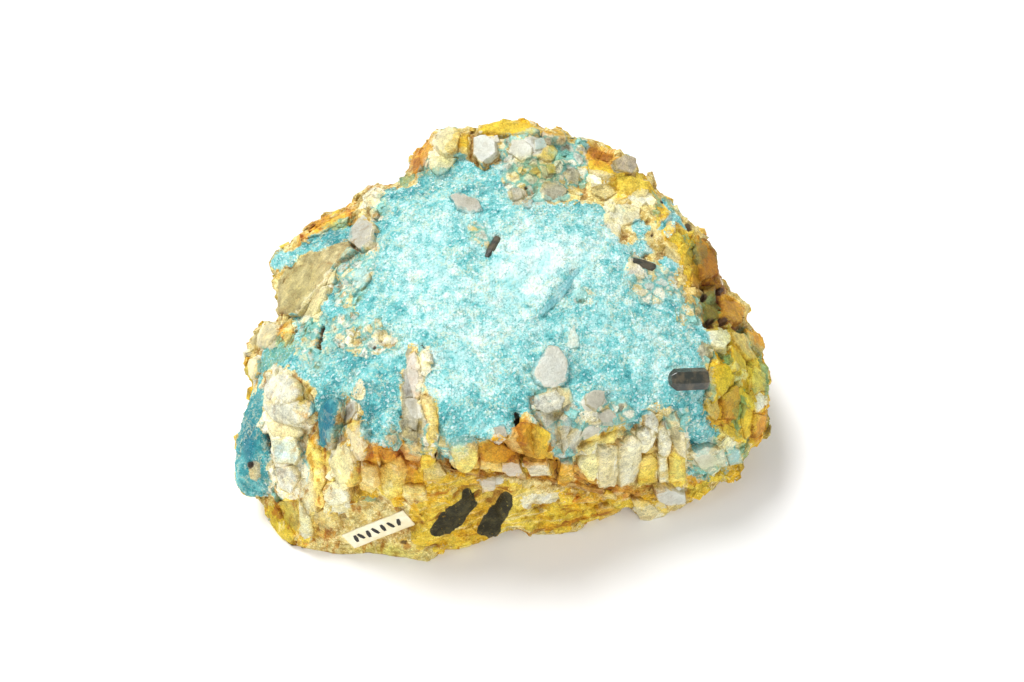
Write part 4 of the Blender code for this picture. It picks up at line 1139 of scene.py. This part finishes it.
def build_druse(surface, kinds, crust, seen, covered, normals):
    """Small pointed crystals standing on the crust, one joined mesh."""
    weight = crust ** 2 * (0.35 + 0.65 * seen)
    x, y = surface.sight()
    plates = plate_amount(x, y, seen)
    weight *= (1 - step(-0.1, 0.1, kinds["pit"])) * (1 - covered) * (1 - 0.92 * plates)
    weight /= weight.sum()
    chosen = RNG.choice(len(surface.co), size=DRUSE_COUNT, replace=False, p=weight)
    tones = crust_tone(x, y, seen)
    verts, faces, shade, owner = [], [], [], []
    for i in chosen:
        size = random.uniform(*DRUSE_SIZES)
        up = Vector(normals[i]) + Vector([random.gauss(0, DRUSE_LEAN) for _ in range(3)])
        up.normalize()
        side = up.orthogonal().normalized()
        other = up.cross(side)
        turn = random.uniform(0, math.tau)
        sides = random.choice((3, 4, 4))
        foot = Vector(surface.co[i]) - up * DRUSE_SUNK
        first = len(verts)
        for j in range(sides):
            a = turn + math.tau * j / sides
            reach = size * random.uniform(0.75, 1.15)
            verts.append(in_box(foot + (side * math.cos(a) + other * math.sin(a)) * reach))
        verts.append(in_box(foot + up * (DRUSE_SUNK + size * random.uniform(0.35, 0.8))))
        for j in range(sides):
            faces.append((first + j, first + (j + 1) % sides, first + sides))
        faces.append(tuple(first + j for j in reversed(range(sides))))
        shade.extend([random.uniform(0.0, 1.0)] * (sides + 1))
        owner.extend([i] * (sides + 1))
    mesh = new_mesh("druse", verts, faces)
    for name, values in (("shade", shade), ("tone", tones[owner]), ("plate", plates[owner])):
        write_values(mesh, name, values)
    mesh.update()
    return add_object("druse_points", mesh)


# Broken grains: how many, their shapes, their half widths in mm and their stretch.
GRAIN_COUNT = 2800
GRAIN_TEMPLATES = 14
GRAIN_CORNER_SHIFT = 0.45
GRAIN_SIZES = (0.3, 0.85)
GRAIN_STRETCH = (1.0, 1.9)
GRAIN_LEAN = 0.16
GRAIN_THICKNESS = 0.55
GRAIN_SUNK = 0.70
GRAIN_CLEAR_OF_LABEL = 6.0


def block_template(corner_shift):
    """A unit block with shifted corners, as a closed hull."""
    bm = bmesh.new()
    for corner in itertools.product((-1, 1), repeat=3):
        bm.verts.new([side * random.uniform(1.0 - corner_shift, 1.0) for side in corner])
    for _ in range(3):
        spin = random.uniform(0, math.tau)
        bm.verts.new((1.05 * math.cos(spin), 1.05 * math.sin(spin), random.uniform(-0.4, 0.7)))
    hull = bmesh.ops.convex_hull(bm, input=bm.verts[:])
    inner = {v for v in hull["geom_interior"] if isinstance(v, bmesh.types.BMVert)}
    bmesh.ops.delete(bm, geom=list(inner), context="VERTS")
    bm.verts.index_update()
    verts = [v.co.copy() for v in bm.verts]
    faces = [tuple(v.index for v in f.verts) for f in bm.faces]
    bm.free()
    return verts, faces


def read_values(mesh, name):
    values = np.empty(len(mesh.vertices), dtype=np.float32)
    mesh.attributes[name].data.foreach_get("value", values)
    return values


def write_values(mesh, name, values):
    layer = mesh.attributes.new(name, "FLOAT", "POINT")
    layer.data.foreach_set("value", np.array(values, dtype=np.float32))


def carry_attributes(source, mesh, owner):
    """Give each vertex the values of its owner on the surface."""
    names = [name for name in source.attributes.keys() if name.startswith("k_")]
    for name in names + ["tone", "plate", "crust", "warmth", "light", "upright", "banded"]:
        write_values(mesh, name, read_values(source, name)[owner])


def build_grains(surface, kinds, crust, covered, normals):
    """Angular quartz grains half sunk in the bare rock, one joined mesh."""
    templates = [block_template(GRAIN_CORNER_SHIFT) for _ in range(GRAIN_TEMPLATES)]
    away = label_distance(surface.co)
    weight = (1 - crust) ** 2 * (surface.co[:, 2] > 1.0) * (away > GRAIN_CLEAR_OF_LABEL)
    weight *= 1 - 0.85 * step(-0.1, 0.2, np.maximum(kinds["tan"], kinds["quartz"]))
    weight *= 1 - step(-1.5, -0.6, kinds["paint"])
    weight *= 1 - step(-1.2, -0.4, kinds["pit"])
    weight *= (1 - covered) ** 2
    weight /= weight.sum()
    chosen = RNG.choice(len(surface.co), size=GRAIN_COUNT, replace=False, p=weight)
    upright = read_values(surface.mesh, "upright")
    verts, faces, owner, shade = [], [], [], []
    for i in chosen:
        up = Vector(normals[i]) + Vector([random.gauss(0, GRAIN_LEAN) for _ in range(3)])
        up.normalize()
        slope = Vector((0, 0, 1)) - up * up.z
        along = slope.normalized() if slope.length > 0.3 else up.orthogonal().normalized()
        turn = random.gauss(0, 0.35) if upright[i] > 0.5 else random.uniform(0, math.tau)
        across = up.cross(along)
        run = along * math.cos(turn) + across * math.sin(turn)
        side = up.cross(run)
        size = random.uniform(*GRAIN_SIZES)
        stretch = random.uniform(*GRAIN_STRETCH)
        deep = size * GRAIN_THICKNESS
        foot = Vector(surface.co[i]) - up * deep * GRAIN_SUNK
        shape, sides = random.choice(templates)
        first = len(verts)
        for v in shape:
            spot = foot + run * (v.x * size * stretch) + side * (v.y * size) + up * (v.z * deep)
            verts.append(in_box(spot))
        faces.extend(tuple(first + k for k in face) for face in sides)
        owner.extend([i] * len(shape))
        shade.extend([random.uniform(-1.0, 1.0)] * len(shape))
    mesh = new_mesh("grains", verts, faces)
    carry_attributes(surface.mesh, mesh, owner)
    write_values(mesh, "shade", shade)
    mesh.update()
    return add_object("rock_grains", mesh)


def sight_direction(px, py):
    ray = SIGHT_IN + SIGHT_RIGHT * (px - PX_CENTRE[0]) / FOCAL_PX
    ray = ray + SIGHT_UP * (PX_CENTRE[1] - py) / FOCAL_PX
    return ray / np.linalg.norm(ray)


def resample(points, spacing):
    out = []
    for a, b in zip(points, points[1:] + points[:1]):
        count = max(1, round(math.dist(a, b) / spacing))
        dx, dy = b[0] - a[0], b[1] - a[1]
        out.extend((a[0] + dx * k / count, a[1] + dy * k / count) for k in range(count))
    return out


def cut_corners(points):
    out = []
    for a, b in zip(points, points[1:] + points[:1]):
        out.append((0.75 * a[0] + 0.25 * b[0], 0.75 * a[1] + 0.25 * b[1]))
        out.append((0.25 * a[0] + 0.75 * b[0], 0.25 * a[1] + 0.75 * b[1]))
    return out


# For each form: how far in each ring lies, how high it stands, the length of the
# spine it closes on, and the greatest slope of its top.
FORMS = {
    "slab": ((0.0, 0.10, 0.26, 0.97), (0.0, 0.75, 1.0, 1.05), 0.35, 0.14),
    "ridge": ((0.0, 0.08, 0.97), (0.0, 0.35, 1.0), 0.55, 0.06),
    "dome": ((0.0, 0.07, 0.18, 0.36, 0.6, 0.97), (0.0, 0.40, 0.66, 0.86, 0.97, 1.0), 0.35, 0.05),
}
# Root, greatest distance off the surface, and how outlines and heights are scaled.
BLOCK_ROOT = 0.9
BLOCK_REACH = 0.95
BLOCK_HEIGHT = 0.55
BLOCK_GROWTH = 1.08
BLOCK_STEP_PX = 3.5
BLOCK_WOBBLE_PX = 0.35
SEAM_WIDTH = 0.28
SHALLOWEST_SIGHT = 0.3


def fit_plane(tree, outline, centre_px):
    """Middle and outward normal of the surface under an outline, and its bumps."""
    hits = []
    for inward in (0.0, 0.3, 0.6, 0.85):
        for px, py in outline:
            ray = sight_direction(px + (centre_px[0] - px) * inward, py + (centre_px[1] - py) * inward)
            hit = tree.ray_cast(Vector(EYE), Vector(ray))[0]
            if hit is not None:
                hits.append(np.array(hit))
    hits = np.array(hits)
    middle = np.median(hits, axis=0)
    close = hits[np.linalg.norm(hits - middle, axis=1) < 8.0]
    middle = close.mean(axis=0)
    normal = np.linalg.svd(close - middle)[2][2]
    to_eye = -sight_direction(*centre_px)
    if normal @ to_eye < 0:
        normal = -normal
    while normal @ to_eye < SHALLOWEST_SIGHT:
        normal = normal + 0.2 * to_eye
        normal /= np.linalg.norm(normal)
    bumps = (close - middle) @ normal
    return middle, normal, float(np.clip(np.percentile(bumps, 80), 0.0, 0.7))


def build_blocks(surface):
    """The larger crystals and broken faces, one joined mesh."""
    tree = surface.tree()
    verts, faces, smooth, tints, seams = [], [], [], [], []
    for colour, form, high, points in BLOCKS:
        high *= BLOCK_HEIGHT
        insets, heights, spine_part, slope = FORMS[form]
        outline = cut_corners(cut_corners(points)) if form == "dome" else points
        outline = [(px + random.gauss(0, BLOCK_WOBBLE_PX), py + random.gauss(0, BLOCK_WOBBLE_PX))
                   for px, py in resample(outline, BLOCK_STEP_PX)]
        flat = np.array(outline)
        centre = flat.mean(axis=0)
        flat = centre + (flat - centre) * BLOCK_GROWTH
        axis = np.linalg.svd(flat - centre)[2][0]
        reach = np.abs((flat - centre) @ axis).max() * spine_part
        sideways = np.array([-axis[1], axis[0]]) * random.uniform(-0.8, 0.8)
        ends = centre + sideways - axis * reach, centre + sideways + axis * reach
        middle, normal, bumps = fit_plane(tree, outline, centre)
        lean = np.cross(normal, [random.gauss(0, 1) for _ in range(3)])
        lean *= slope * random.uniform(0.4, 1.0) / np.linalg.norm(lean)
        shade = random.uniform(0.82, 0.93)
        tint = np.array(srgb(*PALETTE[colour])) * shade

        def place(spot, height):
            ray = sight_direction(*spot)
            base = EYE + ray * (((middle - EYE) @ normal) / (ray @ normal))
            return in_box(base + normal * (height + (base - middle) @ lean))

        first = len(verts)
        for spot in flat:
            verts.append(place(spot, -BLOCK_ROOT))
            seams.append(1.0)
        for inset, height in zip(insets, heights):
            for spot in flat:
                along = np.clip((spot - ends[0]) @ axis, 0.0, 2 * reach)
                target = ends[0] + axis * along
                up = bumps * min(1.0, inset * 10) + high * height
                verts.append(place(spot + (target - spot) * inset, up))
                seams.append(max(0.0, 1.0 - inset / SEAM_WIDTH))
        count = len(flat)
        for ring in range(len(insets)):
            low, up = first + ring * count, first + (ring + 1) * count
            for k in range(count):
                before = (k - 1) % count
                faces.append((low + before, low + k, up + k, up + before))
                smooth.append(form == "dome")
        last = first + len(insets) * count
        faces.append(tuple(first + k for k in reversed(range(count))))
        faces.append(tuple(last + k for k in range(count)))
        smooth.extend([False, form == "dome"])
        tints.extend([tint] * (count * (len(insets) + 1)))
    mesh = new_mesh("blocks", verts, faces)
    mesh.polygons.foreach_set("use_smooth", smooth)
    nearest = KDTree(len(surface.co))
    for i, c in enumerate(surface.co):
        nearest.insert(c, i)
    nearest.balance()
    owner = []
    for i, v in enumerate(verts):
        near, k, away = nearest.find(v)
        owner.append(k)
        if away > BLOCK_REACH:
            mesh.vertices[i].co = (near + (v - near) * (BLOCK_REACH / away)) * MM
    carry_attributes(surface.mesh, mesh, owner)
    seams = np.array(seams)
    write_values(mesh, "blend", 1.0 - 0.8 * seams)
    # the feet of the blocks count as hollows, so the stone material paints shade round them
    write_values(mesh, "hollow", 0.45 * seams)
    layer = mesh.attributes.new("tint", "FLOAT_COLOR", "POINT")
    layer.data.foreach_set("color", np.hstack([np.array(tints), np.ones((len(tints), 1))]).ravel())
    bm = bmesh.new()
    bm.from_mesh(mesh)
    bmesh.ops.remove_doubles(bm, verts=bm.verts[:], dist=1e-6)
    bmesh.ops.recalc_face_normals(bm, faces=bm.faces[:])
    bm.to_mesh(mesh)
    bm.free()
    return add_object("quartz_blocks", mesh)


def build_crystals(surface, seen, normals):
    """Six-sided smoky prisms, sunk to their middle, each with one pointed end."""
    x, y = surface.sight()
    hidden_far = np.where(seen > 0.5, 0.0, 1e6)
    bm = bmesh.new()
    for blunt, pointed, half, high, taper in CRYSTALS:
        ends = []
        for px, py in (blunt, pointed):
            nearest = np.argmin(np.hypot(x - px, y - py) + hidden_far)
            ends.append(Vector(surface.co[nearest]))
        centre = (ends[0] + ends[1]) / 2
        near = np.linalg.norm(surface.co - np.array(centre), axis=1) < 2.5
        up = Vector(normals[near].mean(axis=0)).normalized()
        run = ends[1] - ends[0]
        length = run.length
        run = (run - up * run.dot(up)).normalized()
        side = up.cross(run)
        offset = surface.co - np.array(centre)
        under = np.abs(offset @ np.array(run)) < length / 2
        under &= np.abs(offset @ np.array(side)) < half
        under &= np.abs(offset @ np.array(up)) < 2.0
        centre = centre + up * float(np.percentile(offset[under] @ np.array(up), 75))
        start = centre - run * (length / 2)
        rings = []
        for f, wide in ((0.0, 0.9), (0.05, 1.0), (1.0 - taper, 1.0), (1.0, 0.6)):
            ring = []
            for k in range(6):
                a = math.radians(60 * k)
                spot = start + run * (length * f) + side * (half * wide * math.cos(a))
                spot += up * (high * wide * math.sin(a) / math.sin(math.radians(60)))
                ring.append(bm.verts.new(spot * MM))
            rings.append(ring)
        for lower, upper in zip(rings[:-1], rings[1:]):
            for k in range(6):
                bm.faces.new((lower[k - 1], lower[k], upper[k], upper[k - 1]))
        bm.faces.new(rings[0])
        bm.faces.new(list(reversed(rings[-1])))
    bmesh.ops.recalc_face_normals(bm, faces=bm.faces[:])
    edges = [e for e in bm.edges if e.calc_face_angle(0.0) > math.radians(20)]
    bmesh.ops.bevel(bm, geom=edges, offset=0.05 * MM, segments=1, affect="EDGES")
    mesh = bpy.data.meshes.new("crystals")
    bm.to_mesh(mesh)
    bm.free()
    return add_object("smoky_crystals", mesh)


def smoky_material():
    material = bpy.data.materials.new("smoky_quartz")
    n = Nodes(material)
    at = n.place()
    cloud = n.noise(at, 1.6, 3.0, 0.6)
    scratch = n.noise(at, 0.3, 3.0, 0.7, 0.05)
    colour = n.layers((50, 54, 48), (cloud, 0.38, 0.62, (88, 80, 64)),
        (scratch, 0.58, 0.75, (112, 108, 84), 0.5))
    n.plug(colour, n.shader.inputs["Base Color"])
    n.shader.inputs["Roughness"].default_value = 0.22
    n.plug(n.bump(scratch, 0.06, 0.5), n.shader.inputs["Normal"])
    return material


# Ink on the label, in parts of its length and height: short plain strokes.
INK_STROKES = [
    [(0.12, 0.30), (0.15, 0.72)], [(0.20, 0.72), (0.24, 0.34)], [(0.32, 0.28), (0.35, 0.70)],
    [(0.43, 0.72), (0.47, 0.30)], [(0.57, 0.30), (0.58, 0.72)], [(0.68, 0.70), (0.72, 0.32)],
    [(0.80, 0.30), (0.85, 0.68)],
]
INK_WIDTH = 0.55
INK_LIFT = 0.03
INK_PARTS = 8
PAPER_LIFT = 0.12
PAPER_GRID = (46, 16)
PAPER_EVENING = 40


def label_axes():
    """Middle, run, rise and outward normal of the label's slab, in mm."""
    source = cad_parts["label"]
    bm = bmesh.new()
    bm.from_mesh(source.data)
    bmesh.ops.remove_doubles(bm, verts=bm.verts[:], dist=WELD)
    co = np.array([v.co[:] for v in bm.verts]) / MM
    bm.free()
    middle = co.mean(axis=0)
    run, _, normal = np.linalg.svd(co - middle)[2]
    if run[0] < 0:
        run = -run
    if normal[1] > 0:
        normal = -normal
    rise = np.cross(normal, run)
    half = np.abs((co - middle) @ np.array([run, rise, normal]).T).max(axis=0)
    return middle, run, rise, normal, half


def build_label(surface):
    """A thin paper slip that follows the flank, with strokes of ink over it."""
    middle, run, rise, normal, half = label_axes()
    tree = surface.tree()
    columns, rows = PAPER_GRID
    grid = np.zeros((columns + 1, rows + 1))
    for i in range(columns + 1):
        for j in range(rows + 1):
            s, t = i / columns * 2 - 1, j / rows * 2 - 1
            spot = middle + run * half[0] * s + rise * half[1] * t
            hit = tree.ray_cast(Vector(spot + normal * 3.0), Vector(-normal))
            grid[i, j] = (np.array(hit[0]) - spot) @ normal if hit[0] is not None else 0.0
    for _ in range(PAPER_EVENING):
        padded = np.pad(grid, 1, mode="edge")
        mean = (padded[:-2, 1:-1] + padded[2:, 1:-1] + padded[1:-1, :-2] + padded[1:-1, 2:]) / 4
        grid = np.maximum(0.5 * grid + 0.5 * mean, grid - 0.02)

    def skin(s, t, up):
        i = min(int(round((s + 1) / 2 * columns)), columns)
        j = min(int(round((t + 1) / 2 * rows)), rows)
        return Vector((middle + run * half[0] * s + rise * half[1] * t + normal * (grid[i, j] + up)) * MM)

    bm = bmesh.new()
    edge_wobble = [random.uniform(-0.006, 0.006) for _ in range(columns + 1)]
    sheets = []
    for up in (PAPER_LIFT, 0.0):
        sheets.append([[bm.verts.new(skin(
            i / columns * 2 - 1, (j / rows * 2 - 1) * (1 + edge_wobble[i]), up))
            for j in range(rows + 1)] for i in range(columns + 1)])
    top, under = sheets
    for i in range(columns):
        for j in range(rows):
            bm.faces.new((top[i][j], top[i + 1][j], top[i + 1][j + 1], top[i][j + 1]))
            bm.faces.new((under[i][j + 1], under[i + 1][j + 1], under[i + 1][j], under[i][j]))
    rim = [(i, 0) for i in range(columns)] + [(columns, j) for j in range(rows)]
    rim += [(i, rows) for i in range(columns, 0, -1)] + [(0, j) for j in range(rows, 0, -1)]
    for (a, b), (c, d) in zip(rim, rim[1:] + rim[:1]):
        bm.faces.new((under[a][b], under[c][d], top[c][d], top[a][b]))
    for face in bm.faces:
        face.smooth = True
    mesh = bpy.data.meshes.new("paper")
    bm.to_mesh(mesh)
    paper_faces = len(bm.faces)
    for stroke in INK_STROKES:
        (s0, t0), (s1, t1) = [(s * 2 - 1, t * 2 - 1) for s, t in stroke]
        along = Vector(((s1 - s0) * half[0], (t1 - t0) * half[1]))
        across = Vector((-along.y, along.x)).normalized() * (INK_WIDTH / 2)
        ring = []
        for k in range(INK_PARTS + 1):
            f = k / INK_PARTS
            narrow = 0.55 + 0.45 * math.sin(math.pi * min(max(f, 0.08), 0.92))
            ring.append((s0 + (s1 - s0) * f, t0 + (t1 - t0) * f, narrow))
        left, right = [[bm.verts.new(skin(
            s + way * across.x * w / half[0], t + way * across.y * w / half[1], PAPER_LIFT + INK_LIFT))
            for s, t, w in ring] for way in (1, -1)]
        for k in range(INK_PARTS):
            face = bm.faces.new((left[k], right[k], right[k + 1], left[k + 1]))
            face.material_index = 1
    bmesh.ops.recalc_face_normals(bm, faces=bm.faces[:paper_faces])
    bm.to_mesh(mesh)
    bm.free()
    return add_object("paper_label", mesh)


def paper_material():
    material = bpy.data.materials.new("cream_paper")
    n = Nodes(material)
    at = n.place()
    blotch = n.noise(at, 2.0, 3.0, 0.6)
    fibre = n.noise(at, 0.25, 3.0, 0.7, 0.05)
    colour = n.layers((250, 244, 216), (blotch, 0.35, 0.65, (240, 228, 186)),
        (fibre, 0.6, 0.8, (222, 206, 160), 0.4))
    n.plug(colour, n.shader.inputs["Base Color"])
    n.shader.inputs["Roughness"].default_value = 0.75
    n.plug(n.bump(fibre, 0.05, 0.4), n.shader.inputs["Normal"])
    return material


def ink_material():
    material = bpy.data.materials.new("black_ink")
    n = Nodes(material)
    worn = n.noise(n.place(), 0.5, 3.0, 0.6)
    n.plug(n.mix(n.ramp(worn, 0.3, 0.7), srgb(14, 12, 10), srgb(38, 34, 28)), n.shader.inputs["Base Color"])
    n.shader.inputs["Roughness"].default_value = 0.5
    return material


FLOOR_SIZE = 40.0
WORLD_STRENGTH = 0.42


def add_floor():
    bpy.ops.mesh.primitive_plane_add(size=FLOOR_SIZE, location=(0, 0, 0))
    floor = bpy.context.object
    floor.name = "floor"
    material = bpy.data.materials.new("floor_white")
    n = Nodes(material)
    n.shader.inputs["Base Color"].default_value = (0.95, 0.95, 0.95, 1)
    n.shader.inputs["Roughness"].default_value = 0.9
    n.shader.inputs["Specular IOR Level"].default_value = 0.1
    floor.data.materials.append(material)


def add_light(name, place, strength, spread_degrees):
    """A soft distant light that shines from a place towards the origin."""
    data = bpy.data.lights.new(name, "SUN")
    data.energy = strength
    data.angle = math.radians(spread_degrees)
    light = add_object(name, data)
    light.location = place
    light.rotation_euler = Vector(place).to_track_quat("Z", "Y").to_euler()


def add_lights():
    world = bpy.data.worlds.new("studio")
    bpy.context.scene.world = world
    world.use_nodes = True
    background = world.node_tree.nodes["Background"]
    background.inputs[0].default_value = (1.0, 1.0, 1.0, 1.0)
    background.inputs[1].default_value = WORLD_STRENGTH
    add_light("overhead", (-0.25, 0.25, 0.50), 3.0, 28)
    add_light("front_fill", (0.20, -0.50, 0.35), 1.15, 32)
    add_light("left_fill", (-0.50, -0.20, 0.25), 0.6, 32)


def add_camera():
    data = bpy.data.cameras.new("view")
    data.sensor_width = SENSOR_MM
    data.lens = FOCAL_PX / IMAGE_WIDTH_PX * SENSOR_MM
    data.clip_start = 0.005
    camera = add_object("view", data)
    camera.location = EYE * MM
    camera.rotation_euler = (math.pi / 2 - SIGHT_ELEVATION, 0, 0)
    bpy.context.scene.camera = camera


def main():
    bpy.context.scene.view_settings.view_transform = "Standard"
    stone, surface, kinds, crust, seen, covered = build_stone()
    stone.data.materials.clear()
    stone.data.materials.append(stone_material())
    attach(stone, "root")
    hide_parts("stone")

    normals = surface.normals()
    grains = build_grains(surface, kinds, crust, covered, normals)
    grains.data.materials.append(stone.data.materials[0])
    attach(grains, "root")

    blocks = build_blocks(surface)
    blocks.data.materials.append(stone.data.materials[0])
    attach(blocks, "root")

    crystals = build_crystals(surface, seen, normals)
    crystals.data.materials.append(smoky_material())
    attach(crystals, "root")

    druse = build_druse(surface, kinds, crust, seen, covered, normals)
    druse.data.materials.append(crystal_material())
    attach(druse, "root")

    label = build_label(surface)
    label.data.materials.append(paper_material())
    label.data.materials.append(ink_material())
    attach(label, "root")
    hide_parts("label")

    add_floor()
    add_lights()
    add_camera()


main()
